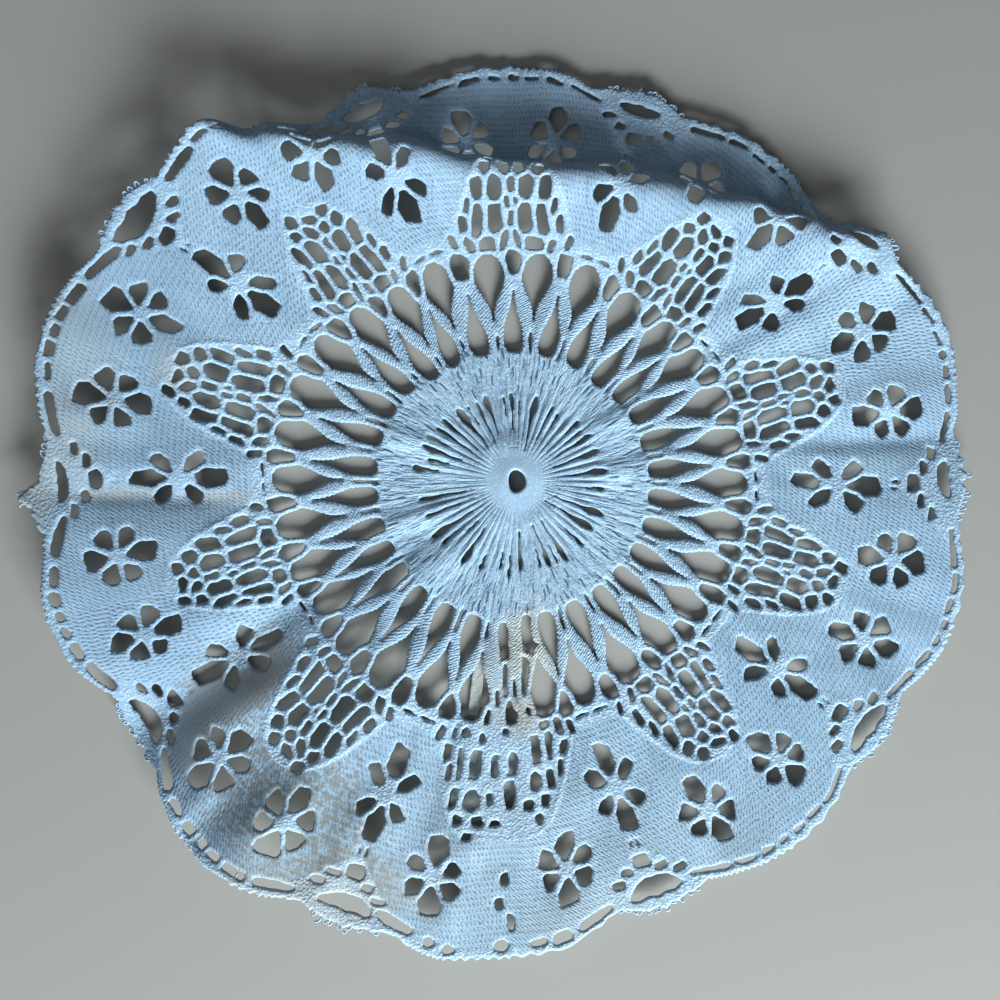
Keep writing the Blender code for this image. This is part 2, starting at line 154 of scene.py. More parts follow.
HUB_HOLE_RADIUS = 1.65
HUB_HOLE_STRETCH = (0.86, 1.1)
RIBS = 60
RIB_HEIGHT = 0.42
RIB_REACH = ((3.8, 7.5), (20.0, 26.0))  # the radii over which the ribs rise and end
RIB_WEAR, RIB_WORN = (11.0, 16.5), 0.85  # the radii over which they flatten, and by what share
FLATTER_RIBS = ((178.0, 18.0, 0.75), (262.0, 30.0, 0.5))  # direction and reach in degrees, share lost
RIB_WOBBLE = ((3, 1.3, 1.0), (7, 0.8, 2.0), (11, 0.5, 0.4))  # waves round, size and start in radians
HUB_SLITS = (
    # direction_deg, inner_mm, outer_mm, head_mm
    (130.2, 7.4, 15.6, 1.65), (124.3, 11.5, 15.0, 0.4), (117.8, 7.6, 14.9, 0.6), (107.5, 8.6, 15.2, 1.0),
    (100.5, 11.2, 14.4, 0.45), (92.8, 8.8, 15.0, 0.9), (87.0, 11.4, 13.6, 0.35), (78.7, 5.5, 14.8, 1.15),
    (64.0, 8.0, 14.2, 0.45), (60.0, 11.0, 13.5, 0.5), (45.0, 11.6, 14.8, 0.8), (39.0, 10.4, 13.8, 0.5),
    (31.6, 7.6, 14.9, 0.9), (19.8, 6.6, 14.8, 1.0), (4.9, 8.0, 15.2, 1.15), (353.7, 11.6, 14.6, 0.7),
    (341.4, 6.8, 15.4, 1.15), (329.1, 5.6, 14.8, 1.15), (319.1, 11.2, 15.2, 0.65), (306.3, 7.6, 15.6, 0.9),
    (301.8, 11.6, 14.9, 0.45), (294.8, 7.6, 15.0, 1.0), (288.6, 11.5, 14.5, 0.5), (275.8, 8.2, 14.4, 0.75),
    (263.5, 12.0, 15.4, 0.55), (259.1, 11.6, 14.2, 0.4), (247.0, 12.8, 15.2, 0.7), (235.1, 9.2, 15.6, 1.0),
    (223.5, 9.0, 11.4, 0.4), (213.0, 8.6, 16.4, 1.15), (222.4, 12.2, 15.4, 0.5), (201.3, 9.6, 15.6, 0.4),
    (190.0, 8.4, 15.8, 0.8), (170.0, 12.8, 16.6, 1.0), (163.0, 11.4, 14.6, 0.45), (157.5, 9.6, 16.0, 0.9),
    (153.0, 12.4, 16.0, 0.5), (148.0, 9.0, 15.4, 0.45), (140.0, 8.4, 15.6, 0.55),
)
SLIT_PROFILE = ((0.0, 0.12), (0.2, 0.2), (0.5, 0.34), (0.74, 1.0), (0.9, 0.85), (1.0, 0.3))
SLIT_TAIL = 0.13  # the narrowest half width
SLIT_POINTS = 12

# ---- Holes, in one repeat about the middle of its net wedge ----

NET_HOLES = (
    # side_deg, middle_mm, width_mm, length_mm, lean_mm
    (-2.6, 54.9, 1.4, 1.6, 0.0),
    (0.4, 54.7, 2.1, 1.4, 0.5),
    (3.3, 55.4, 1.4, 1.8, -0.3),
    (-4.1, 52.6, 1.6, 2.1, 0.0),
    (-1.0, 52.8, 1.3, 1.8, 0.0),
    (1.6, 53.0, 1.3, 2.3, 0.6),
    (4.3, 52.9, 1.2, 1.7, 0.0),
    (-5.6, 49.6, 1.5, 3.6, -0.2),
    (-2.3, 49.6, 2.1, 3.6, 0.0),
    (0.3, 50.2, 0.8, 2.2, 0.0),
    (3.1, 49.7, 1.7, 3.9, 0.0),
    (6.15, 49.5, 1.35, 3.7, 0.0),
    (-5.7, 44.3, 1.5, 4.9, 0.9),
    (-2.3, 44.4, 1.8, 4.9, 0.3),
    (0.5, 44.3, 0.5, 1.9, 0.0),
    (1.0, 47.0, 0.5, 1.3, 0.0),
    (-0.4, 47.1, 0.45, 1.0, 0.0),
    (3.4, 44.4, 1.8, 4.4, -0.2),
    (6.8, 44.3, 1.4, 4.8, -0.9),
    (-4.5, 40.2, 2.5, 2.0, 0.0),
    (5.3, 40.3, 2.3, 2.0, 0.0),
    (-1.0, 40.8, 0.55, 2.8, 0.9),
    (1.9, 40.8, 0.6, 2.9, -0.9),
    (-7.7, 46.8, 0.6, 2.4, 0.0),
    (8.1, 46.8, 0.6, 2.6, -0.5),
    (-9.2, 44.1, 0.9, 2.4, 0.3),
    (9.5, 44.1, 0.9, 2.2, -0.4),
    (-8.2, 40.2, 0.55, 1.9, -0.5),
    (9.0, 40.4, 0.9, 2.2, 0.6),
    (-11.9, 41.2, 0.6, 1.9, -0.5),
    (12.1, 41.2, 0.6, 1.9, 0.5),
)
NET_GROWTH = 0.30
LOBE_FOOT_SLITS = ((-2.0, 39.9, 2.5, 0.5), (2.0, 39.9, 2.5, 0.5))  # from the lobe's middle

# At the seam the lace's two ends overlap: directions, not sides.
SEAM_HALF_DEG = 7.5  # nearer the seam than this, they take the place of the net's own holes
SEAM_HOLES = (
    # direction_deg, middle_mm, width_mm, length_mm, lean_mm
    (265.4, 25.6, 1.4, 6.0, 0.9),
    (274.9, 24.9, 2.3, 6.6, 0.2),
    (272.6, 31.2, 1.3, 6.6, -0.5),
    (269.6, 34.0, 0.5, 4.6, 0.3),
    (266.8, 31.6, 0.6, 5.4, 0.3),
    (268.6, 37.0, 1.7, 3.8, 0.2),
    (267.4, 40.0, 1.1, 1.1, 0.0),
    (262.9, 37.3, 0.8, 2.8, 0.0),
    (265.1, 34.6, 0.7, 2.6, 0.2),
    (273.3, 36.0, 1.3, 3.0, 0.3),
    (276.6, 39.6, 1.6, 1.4, 0.0),
    (274.1, 43.2, 1.5, 4.3, 0.0),
    (277.1, 43.0, 1.1, 4.4, 0.0),
    (273.7, 48.3, 1.6, 2.9, 0.0),
    (276.7, 48.3, 1.3, 2.8, 0.0),
    (268.8, 50.2, 1.7, 4.3, 0.1),
    (272.1, 52.0, 1.8, 1.5, 0.0),
    (275.2, 51.7, 1.3, 1.8, 0.0),
    (273.9, 54.3, 1.5, 1.4, 0.0),
    (258.6, 45.2, 1.1, 4.6, 0.2),
    (261.7, 45.0, 1.7, 4.6, 0.0),
    (265.6, 45.4, 1.2, 3.4, 0.0),
    (269.3, 45.2, 1.5, 3.4, 0.0),
    (258.7, 50.6, 1.2, 3.2, 0.0),
    (261.9, 50.8, 2.3, 3.2, 0.0),
    (265.2, 50.6, 1.0, 1.8, 0.0),
    (260.0, 54.0, 1.4, 1.5, 0.0),
    (263.4, 54.2, 1.8, 1.5, 0.3),
    (261.9, 56.4, 1.4, 1.3, 0.0),
    (266.4, 54.6, 1.6, 1.0, 0.0),
    (268.3, 63.6, 1.2, 1.9, 0.0),
    (267.6, 67.4, 1.2, 1.8, 0.2),
    (269.2, 70.3, 1.2, 2.5, 0.4),
    (258.3, 40.2, 1.7, 1.4, 0.0),
    (262.4, 40.8, 0.9, 1.5, 0.0),
)

# A flower's six petals, about its middle: the axis from across, half the angle between its two spokes,
# where it starts, its greatest width and its reach.
OUTER_FLOWER = (
    # axis_deg, half_angle_deg, start_mm, width_mm, reach_mm
    (90.0, 30.0, 1.3, 3.7, 5.9),
    (270.0, 30.0, 1.4, 3.2, 6.5),
    (31.0, 29.0, 1.2, 3.0, 5.0),
    (149.0, 29.0, 1.2, 3.0, 5.0),
    (-30.0, 29.0, 1.3, 2.9, 4.8),
    (210.0, 29.0, 1.3, 2.9, 4.8),
)
INNER_FLOWER = (
    # axis_deg, half_angle_deg, start_mm, width_mm, reach_mm
    (90.0, 27.0, 1.6, 3.1, 8.0),
    (270.0, 26.0, 2.2, 2.9, 8.2),
    (44.0, 28.0, 1.4, 2.4, 5.4),
    (136.0, 28.0, 1.4, 2.4, 5.4),
    (-44.0, 28.0, 1.4, 2.4, 5.4),
    (224.0, 28.0, 1.4, 2.4, 5.4),
)
SPOKE_WIDTH = 0.85
CORNER_REACH, DROP_CORNER = 0.11, 0.08  # how far from a corner it is cut, and from a drop's teeth
SECOND_CUT, MOST_CUT = 0.4, 0.33  # the second cut against the first, and the most of a side's length
TINY = 1e-6  # keeps divisors away from 0
THINNEST_CORD = 0.78
OUTER_FLOWER_SIDE_DEG = 6.5
OUTER_FLOWER_RADIUS = 63.2
INNER_FLOWER_RADIUS = 53.1

# A drop's half width, as a share of its greatest, along its length from the inner end.
LARGE_DROP = {
    "inner_mm": 27.4, "outer_mm": 38.5, "width_mm": 4.9,
    "profile": (
        (0.0, 0.04), (0.12, 0.08), (0.24, 0.2), (0.36, 0.46), (0.48, 0.75), (0.6, 0.95), (0.7, 1.0),
        (0.8, 0.95), (0.9, 0.74), (0.96, 0.5), (1.0, 0.24),
    ),
}
SMALL_DROP = {
    "inner_mm": 22.0, "outer_mm": 32.4, "width_mm": 3.1,
    "profile": (
        (0.0, 0.4), (0.04, 0.7), (0.1, 0.9), (0.2, 1.0), (0.33, 0.97), (0.46, 0.82), (0.58, 0.57),
        (0.7, 0.32), (0.82, 0.16), (1.0, 0.07),
    ),
}
LARGE_DROP_SIDES_DEG = (-6.0, 6.0, 18.0)
SMALL_DROP_SIDES_DEG = (-12.0, 0.0, 12.0)
SERRATION = 0.15
SERRATION_PITCH = 0.38
NARROWEST_DROP = 0.08  # half width
SMALL_OVAL = {"middle_mm": 37.1, "width_mm": 2.4, "length_mm": 3.9}
THIN_SLIT = {"inner_mm": 21.6, "outer_mm": 25.5, "width_mm": 0.55}

# The valley of the edge, from its middle.
EYELET_SIDE_DEG = 0.8
EYELET_RADIUS = 70.7
EYELET = (
    # across_mm, out_mm
    (-4.5, 1.0), (-3.0, 1.3), (-1.5, 1.0), (0.0, 1.45), (1.5, 1.05), (3.0, 1.35), (4.5, 0.8),
    (4.2, -0.1), (3.0, -1.2), (1.4, -1.8), (-1.2, -1.8), (-2.8, -1.2), (-4.3, 0.0),
)
EYELET_STRETCH = {
    # chart_deg of the valley: across, outwards
    18: (0.75, 0.6), 54: (0.8, 0.6), 90: (0.85, 0.75), 126: (1.1, 1.1), 162: (0.72, 0.55),
    198: (0.95, 0.8), 234: (1.05, 0.75), 270: (1.0, 1.05), 306: (1.05, 0.85), 342: (0.7, 0.65),
}
VALLEY_HOLES = (
    # side_deg, middle_mm, width_mm, length_mm, lean_mm
    (-4.0, 68.5, 2.0, 1.1, 0.0),
    (-2.3, 66.7, 2.3, 1.1, 0.0),
    (0.2, 65.6, 2.9, 2.0, 0.0),
    (2.6, 67.3, 1.8, 1.2, 0.0),
    (4.6, 68.9, 2.2, 1.1, 0.0),
    (-0.35, 62.3, 0.45, 1.0, -0.1),
    (0.45, 62.4, 0.45, 1.2, 0.1),
)
# Slits between the braid and the cloth, from the crown.
RIM_SLITS = (
    # side_deg, inwards_mm, along_mm, width_mm
    (-9.9, 1.65, 6.2, 0.8),
    (9.3, 1.65, 6.2, 0.8),
    (-5.6, 1.75, 3.6, 0.7),
    (-2.7, 1.75, 2.4, 0.7),
    (-0.4, 1.8, 1.7, 0.75),
    (2.0, 1.75, 2.4, 0.65),
    (5.1, 1.75, 3.8, 0.7),
)
WIDE_RIM_FROM, WIDE_RIM_TO = 135.0, 292.0  # directions where the rim's slits are pulled open
WIDE_RIM, WIDE_RIM_SHIFT = (1.3, 1.95), 0.2  # how much longer and wider they are there, and how far inwards

# The edge's radius, by the angle from a valley's middle.
EDGE_PROFILE = (
    (-18.0, 76.1), (-13.0, 75.6), (-9.0, 74.3), (-6.5, 73.2), (-4.5, 72.7), (-2.5, 73.4), (-0.5, 74.1),
    (0.5, 73.7), (1.4, 74.5), (2.2, 73.7), (3.0, 74.0), (4.1, 73.4), (5.1, 73.5), (7.4, 73.0), (10.0, 74.3),
    (14.0, 75.6), (18.0, 76.1),
)
CROWN_START = (6.0, 9.0)  # degrees from a valley's middle over which the crown begins
RIM_WAVE_PITCH, RIM_WAVE = 2.3, 0.22
TOOTH_PITCH, TOOTH, TOOTH_LOST = 1.7, 0.18, 0.10  # the last is what the teeth lose at the crowns
# How far the waves and the teeth drift along the edge, and over how long a run.
WAVE_DRIFT, WAVE_DRIFT_RUN = 0.8, 9.0
TOOTH_DRIFT, TOOTH_DRIFT_RUN, TOOTH_PATCH_RUN = 1.7, 2.9, 3.7
EDGE_SWAY, EDGE_SWAY_RUN = 0.12, 5.3
# A flap of worn cloth that sticks out at the left.
FLAP = (
    # direction_deg, beyond_mm
    (177.5, 0.0), (179.4, 0.4), (180.5, 1.0), (181.1, 2.2), (181.6, 3.7), (182.1, 3.5), (183.2, 2.2),
    (185.0, 1.5), (187.0, 0.7), (188.5, 0.0),
)

# Half the net wedge's width, in degrees, by radius: outside it lies the cloth stitch.
WEDGE_HALF = (
    (40.6, 14.5), (41.4, 12.6), (43.0, 11.2), (46.0, 9.6), (49.0, 8.2), (51.5, 6.9), (53.5, 5.6),
    (55.5, 4.0), (57.0, 1.2), (58.0, -3.0),
)
WEDGE_EDGE = (0.5, 1.1)  # how far past the wedge the cloth begins and is full, in mm
CLOTH_START = (41.2, 42.2)
VALLEY_HALF = ((63.4, 0.0), (66.0, 2.6), (68.5, 4.6), (70.5, 6.4), (73.0, 8.0))
VALLEY_START = 63.0
VALLEY_EDGE = (0.3, 0.9)
RIM_CORD, RIM_BLEND = 1.15, 0.6
# A flower's spokes, plaited instead of woven.
SPOKED = (
    # side_deg from the wedge, out_mm, then half width, half length and shift outwards
    (6.5, 63.5, (3.1, 4.0, -0.3)),
    (18.0, 53.8, (2.4, 4.2, -0.9)),
)
SPOKED_EDGE = (0.85, 1.1)
BARS = ((21.0, 23.0), (33.0, 35.0))  # the radii where the leaf bars begin and end
BORDER = ((41.0, 42.5), (56.0, 58.0))  # the radii of the cord round the wedge
BORDER_PLACE, BORDER_WIDTH = 0.1, 0.32
BORDER_RISE = 0.12

# ---- The mesh's grain and the roundness of the threads ----

STEPS = (
    # out_mm, step_mm between rings
    (0.0, 0.155), (14.0, 0.165), (16.0, 0.22), (40.0, 0.235), (42.0, 0.25), (58.0, 0.26), (62.0, 0.29),
    (80.0, 0.30),
)
ROUND_STEP = 1.1  # the step round the doily, against the step outwards
RING_START, RING_END = 1.0, 79.6
CUT_CLEARANCE = 0.1
FAR = 9.0  # further than any thread is wide
GORE_CHARTS = (252.0, 324.0, 396.0, 468.0, 540.0, 612.0)
CORD_THICKNESS, CORD_ROUND = 0.31, 0.52
CLOTH_THICKNESS, CLOTH_ROUND = 0.27, 0.55
BAR_THICKNESS, BAR_ROUND = 0.34, 0.80
ROW_PITCH, ROW_RELIEF = 0.98, 0.012
PLAIT_PITCH, PLAIT_DEPTH = 1.3, 0.16
PLAIT_INWARDS, PLAIT_OUT = (1.0, 1.6), (68.0, 70.0)  # from the edge, and from the hub
LOWEST = 0.02  # the underside's least height
HUB_ZONE = 30.0  # inside it a point carries its groove, and outside it the lean of the weave
LEAN, LEAN_TURN = 1.25, 2.5  # how far a gap leans over its row, in threads, and how fast that turns over
LEAN_START_DEG = 120.0
HUB_EDGE, HUB_EDGE_WAVE, DROP_PITCH_DEG = 22.3, 0.9, 12.0  # where the gathered threads end, between the drops
BAR_END = 34.0
HUB_KIND, BAR_KIND, CORD_KIND, CLOTH_KIND = range(4)

SHEER_PLACES = (
    # x_mm, y_mm, half_length_mm, half_width_mm, turn_deg, amount
    (-46.5, -33.0, 17.0, 8.0, 34.0, 1.0),
    (-54.0, -41.5, 11.0, 6.5, 105.0, 0.95),
    (-38.0, -51.0, 25.0, 19.0, -35.0, 0.52),
    (-28.5, -64.0, 14.0, 9.0, -15.0, 0.55),
)
SHEER_EDGE = (0.35, 1.1)


def table_at(table, places):
    """A table of two columns, read at any place."""
    return np.interp(places, *np.array(table).T)


def flat_xy(angle, out_mm):
    """Flat x and y, from an angle in radians and a distance from the hub."""
    return np.stack([out_mm * np.cos(angle), out_mm * np.sin(angle)], axis=-1)


def turned(x, y, turn_deg):
    """Two offsets, turned anticlockwise together."""
    turn = math.radians(turn_deg)
    return x * math.cos(turn) - y * math.sin(turn), x * math.sin(turn) + y * math.cos(turn)


def turn_between(direction_deg, other_deg):
    """The shorter turn from one direction to another, from -180 to 180."""
    return (other_deg - direction_deg + 180.0) % 360.0 - 180.0


def ease(share):
    """A share from 0 to 1, eased at both ends."""
    return share * share * (3.0 - 2.0 * share)


def smooth(value, start, end):
    """0 before start, 1 after end, eased between."""
    return ease(np.clip((value - start) / (end - start), 0.0, 1.0))


def within(value, rise, fade):
    """0 before the rise, 1 from its end to the start of the fade, and 0 after it."""
    return smooth(value, *rise) * (1.0 - smooth(value, *fade))


def direction_of(chart_deg):
    """The direction, seen from above, in which a chart degree lies."""
    turns = np.floor_divide(chart_deg, 360.0)
    return table_at(GATHER, chart_deg - 360.0 * turns) + 360.0 * turns


def chart_of(direction_deg):
    """The chart degree that lies in a direction."""
    by_direction = np.array(GATHER)[:, ::-1]
    turns = np.floor_divide(direction_deg - by_direction[0, 0], 360.0)
    return table_at(by_direction, direction_deg - 360.0 * turns) + 360.0 * turns


def eased(direction_deg, column):
    """A column of FOLDS at any direction, eased between rows so that each row is a crest or a trough."""
    rows = np.array(FOLDS)
    places = np.concatenate([rows[-1:, 0] - 360.0, rows[:, 0], rows[:1, 0] + 360.0])
    values = np.concatenate([rows[-1:, column], rows[:, column], rows[:1, column]])
    wrapped = np.mod(direction_deg - rows[0, 0], 360.0) + rows[0, 0]
    after = np.clip(np.searchsorted(places, wrapped, side="right"), 1, len(places) - 1)
    share = (wrapped - places[after - 1]) / (places[after] - places[after - 1])
    return values[after - 1] + (values[after] - values[after - 1]) * ease(share)


def laid_table():
    """Plan radius and height of the laid cloth, for each direction and each distance along the cloth."""
    directions = np.arange(0.0, 361.0, 1.0)
    along = np.arange(0.0, ALONG_END + ALONG_STEP, ALONG_STEP)[None]
    columns = (FOOT, RIDGE, HEIGHT, FALL, DROP)
    foot, ridge, height, fall, drop = (eased(directions, column)[:, None] for column in columns)
    rise = np.clip((along - foot) / (ridge - foot), 0.0, 1.0) ** RISE_POWER
    lift = height * rise - fall * ease(np.clip((along - ridge) / drop, 0.0, 1.0))
    spread = ALONG_STEP * np.arange(-SOFTEN_STEPS, SOFTEN_STEPS + 1)
    weights = np.exp(-0.5 * (spread / FOLD_SOFTNESS) ** 2)
    weights /= weights.sum()
    padded = np.pad(lift, ((0, 0), (SOFTEN_STEPS, SOFTEN_STEPS)), mode="edge")
    softened = np.stack([np.convolve(row, weights, mode="valid") for row in padded])
    softened[softened < LIFTED] = 0.0
    slope = np.clip(np.diff(softened, axis=1) / ALONG_STEP, -STEEPEST, STEEPEST)
    plan = np.cumsum(np.sqrt(1.0 - slope * slope) * ALONG_STEP, axis=1)
    return np.concatenate([np.zeros((len(directions), 1)), plan], axis=1), softened


LAID_PLAN, LAID_HEIGHT = laid_table()


def read_laid(table, direction_deg, along_mm):
    """Bilinear reading of a laid table, which has a row a degree and a column each half millimetre."""
    last = table.shape[1] - 1.001  # just short of the last column, so that there is always a next one
    turn, along = np.mod(direction_deg, 360.0), np.clip(along_mm / ALONG_STEP, 0.0, last)
    row, column = np.floor(turn).astype(int), np.floor(along).astype(int)
    turn, along = turn - row, along - column
    near = table[row, column] * (1.0 - along) + table[row, column + 1] * along
    far = table[row + 1, column] * (1.0 - along) + table[row + 1, column + 1] * along
    return near * (1.0 - turn) + far * turn


def rib_strength(direction_deg):
    """How much of their height the ribs keep: they are flatter at the left and at the bottom."""
    strength = 1.0
    for centre, reach, lost in FLATTER_RIBS:
        strength = strength - lost * np.exp(-((turn_between(centre, direction_deg) / reach) ** 2))
    return strength


def rib_phase(direction_deg):
    """The phase of the gathers: a rib at each full turn, a groove half a turn on."""
    angle = np.radians(direction_deg)
    return RIBS * angle + sum(size * np.sin(waves * angle + start) for waves, size, start in RIB_WOBBLE)


def middle_surface(direction_deg, out_mm):
    """The middle of the lace's thickness, laid on the folds: x, y and z in millimetres from the hub."""
    angle = np.radians(direction_deg)
    pull = smooth(out_mm, PULL_START, PULL_END)
    along = out_mm * (1.0 + (eased(direction_deg, REACH) - 1.0) * pull)
    here = flat_xy(angle, read_laid(LAID_PLAN, direction_deg, along))
    z = read_laid(LAID_HEIGHT, direction_deg, along) + MID_LIFT
    z = z + HUB_RISE * np.cos(0.5 * math.pi * np.clip(out_mm / HUB_RADIUS, 0.0, 1.0)) ** 2
    ribs = within(out_mm, *RIB_REACH) * (1.0 - RIB_WORN * smooth(out_mm, *RIB_WEAR))
    z = z + RIB_HEIGHT * ribs * rib_strength(direction_deg) * (0.5 + 0.5 * np.cos(rib_phase(direction_deg)))
    z = z + SEAM_LIFT * within(direction_deg % 360.0, *SEAM_SIDES) * within(out_mm, *SEAM_REACH)
    for x1, y1, x2, y2, half_width, height in CREASES:
        run = np.array([x2 - x1, y2 - y1])
        share = np.clip((here - (x1, y1)) @ run / (run @ run), 0.0, 1.0)
        off = np.linalg.norm(here - (x1, y1) - share[:, None] * run, axis=1) / half_width
        z = z + height * np.exp(-off * off) * np.minimum(1.0, 4.0 * share * (1.0 - share) + CREASE_END)
    for waves, pitch, height, phase, start, full in RIPPLES:
        turn = waves * angle + 2.0 * math.pi * out_mm / pitch + math.radians(phase)
        z = z + height * smooth(out_mm, start, full) * (0.5 + 0.5 * np.sin(turn))
    return np.column_stack([here, np.maximum(z, LOWEST_MIDDLE)])


def surface_normal(direction_deg, out_mm):
    """The middle surface and its upward normal."""
    step = 0.05
    turn = np.degrees(step / np.maximum(out_mm, 1.0))
    here = middle_surface(direction_deg, out_mm)
    round_it = middle_surface(direction_deg + turn, out_mm) - here
    outwards = middle_surface(direction_deg, out_mm + step) - here
    normal = np.cross(outwards, round_it)
    return here, normal / np.linalg.norm(normal, axis=1)[:, None]


# ---- Holes as rounded loops, in flat x, y ----


def rounded(loop, reach=CORNER_REACH):
    """Cuts a loop's corners twice, no further than reach from each, so that it turns as a thread does."""
    loop = np.asarray(loop, float)
    for cut in (reach, SECOND_CUT * reach):
        run = np.roll(loop, -1, axis=0) - loop
        long = np.linalg.norm(run, axis=1)
        share = np.minimum(cut / np.maximum(long, TINY), MOST_CUT)[:, None]
        loop = np.stack([loop + run * share, loop + run - run * share], axis=1).reshape(-1, 2)
    return loop


def placed(direction_deg, radius, across_out, turn_deg=0.0):
    """A loop of (across, outwards) offsets about a place, as flat x, y."""
    across, out = turned(*np.asarray(across_out, float).T, turn_deg)
    out = radius + out
    return flat_xy(math.radians(direction_deg) + across / np.maximum(out, 1.0), out)


def uneven(rng, loop, amount):
    """Moves each corner a little, as hand work does."""
    loop = np.asarray(loop, float)
    return loop + rng.uniform(-amount, amount, loop.shape)


def roughened(rng, loop, amount=0.075, pitch=0.5):
    """Points each half millimetre along a loop, moved a little, where single threads bulge."""
    loop = np.asarray(loop, float)
    parts = []
    for start, end in zip(loop, np.roll(loop, -1, axis=0)):
        steps = max(1, round(float(np.linalg.norm(end - start)) / pitch))
        parts.append(start + (end - start) * np.arange(steps)[:, None] / steps)
    return uneven(rng, np.concatenate(parts), amount)


def cell(rng, width, length, lean=0.0):
    """A net hole: eight corners, its ends narrower than its middle."""
    half, end = 0.5 * width, 0.5 * length
    top, bottom = rng.uniform(0.3, 0.85, 2)
    loop = [
        (-half * bottom, -end), (half * bottom, -end), (half, -0.55 * end), (half, 0.5 * end),
        (half * top, end), (-half * top, end), (-half, 0.5 * end), (-half, -0.55 * end),
    ]
    return [(x + lean * y / length, y) for x, y in uneven(rng, loop, min(0.2, 0.13 * width))]


def petal(rng, axis_deg, half_angle_deg, start, width, reach):
    """A flower's hole: narrow towards the middle, with sides along its two spokes and a skewed blunt end."""
    half_angle = math.radians(half_angle_deg)
    width, reach = width * rng.uniform(0.84, 1.12), reach * rng.uniform(0.88, 1.05)
    start = start * rng.uniform(0.85, 1.25)
    inner = max(start * math.tan(half_angle) - 0.5 * SPOKE_WIDTH / math.cos(half_angle), 0.15)
    shoulder = min(start + (0.5 * width - inner) / math.tan(half_angle), 0.72 * reach)
    skew = rng.uniform(-0.24, 0.24) * width
    low, high = rng.uniform(0.3, 0.5, 2)
    loop = [
        (start + rng.uniform(0.0, 0.5), -inner), (shoulder, -0.5 * width),
        (0.95 * reach - 0.5 * skew, -low * width), (reach, skew), (0.92 * reach + 0.5 * skew, high * width),
        (shoulder, 0.5 * width), (start + rng.uniform(0.0, 0.5), inner),
    ]
    return np.stack(turned(*uneven(rng, loop, 0.12).T, axis_deg), axis=1)


def middle_of(size):
    return 0.5 * (size["inner_mm"] + size["outer_mm"])


def length_of(size):
    return size["outer_mm"] - size["inner_mm"]


def drop_hole(rng, size):
    """A drop-shaped hole with finely toothed sides, where the leaf bars' weft turns."""
    length = length_of(size)
    steps = int(length / SERRATION_PITCH)
    along = np.linspace(0.0, 1.0, steps + 1)
    half = 0.5 * size["width_mm"] * table_at(size["profile"], along)
    teeth = SERRATION * np.where(np.arange(steps + 1) % 2, 1.0, -1.0) * rng.uniform(0.4, 1.0, steps + 1)
    half = np.maximum(half + teeth, NARROWEST_DROP)
    y = (along - 0.5) * length
    loop = np.concatenate([np.stack([half, y], axis=1), np.stack([-half, y], axis=1)[::-1]])
    loop[:, 0] += rng.uniform(-0.25, 0.25) * np.cos(math.pi * loop[:, 1] / length)
    return loop


def lens(rng, width, length):
    """A slit: pointed at its inner end, narrow at its outer one and widest past its middle."""
    half, end = 0.5 * width, 0.5 * length
    loop = [
        (0.0, -end), (half * 0.7, -0.2 * end), (half, 0.4 * end), (half * 0.4, end),
        (-half * 0.4, end), (-half, 0.3 * end), (-half * 0.6, -0.3 * end),
    ]
    return uneven(rng, loop, 0.1 * width)


def edge_radius(direction_deg):
    """The scalloped edge, with the waves and the fine teeth of its braid."""
    side = np.mod(chart_of(direction_deg), REPEAT_DEG) - 0.5 * REPEAT_DEG
    radius = table_at(EDGE_PROFILE, side)
    run = np.radians(direction_deg) * radius
    crown = smooth(np.abs(side), *CROWN_START)
    wave = np.sin(2.0 * math.pi * run / RIM_WAVE_PITCH + WAVE_DRIFT * np.sin(run / WAVE_DRIFT_RUN))
    teeth = np.sin(2.0 * math.pi * run / TOOTH_PITCH + TOOTH_DRIFT * np.sin(run / TOOTH_DRIFT_RUN))
    teeth = teeth * (0.5 + 0.5 * np.sin(run / TOOTH_PATCH_RUN))
    radius = radius + RIM_WAVE * (0.45 + 0.55 * crown) * wave + EDGE_SWAY * np.sin(run / EDGE_SWAY_RUN)
    return radius + (TOOTH - TOOTH_LOST * crown) * teeth + table_at(FLAP, np.mod(direction_deg, 360.0))


def stretch_at(chart_deg):
    """How much wider than charted the lace lies at a place."""
    return float((direction_of(chart_deg + 3.0) - direction_of(chart_deg - 3.0)) / 6.0)


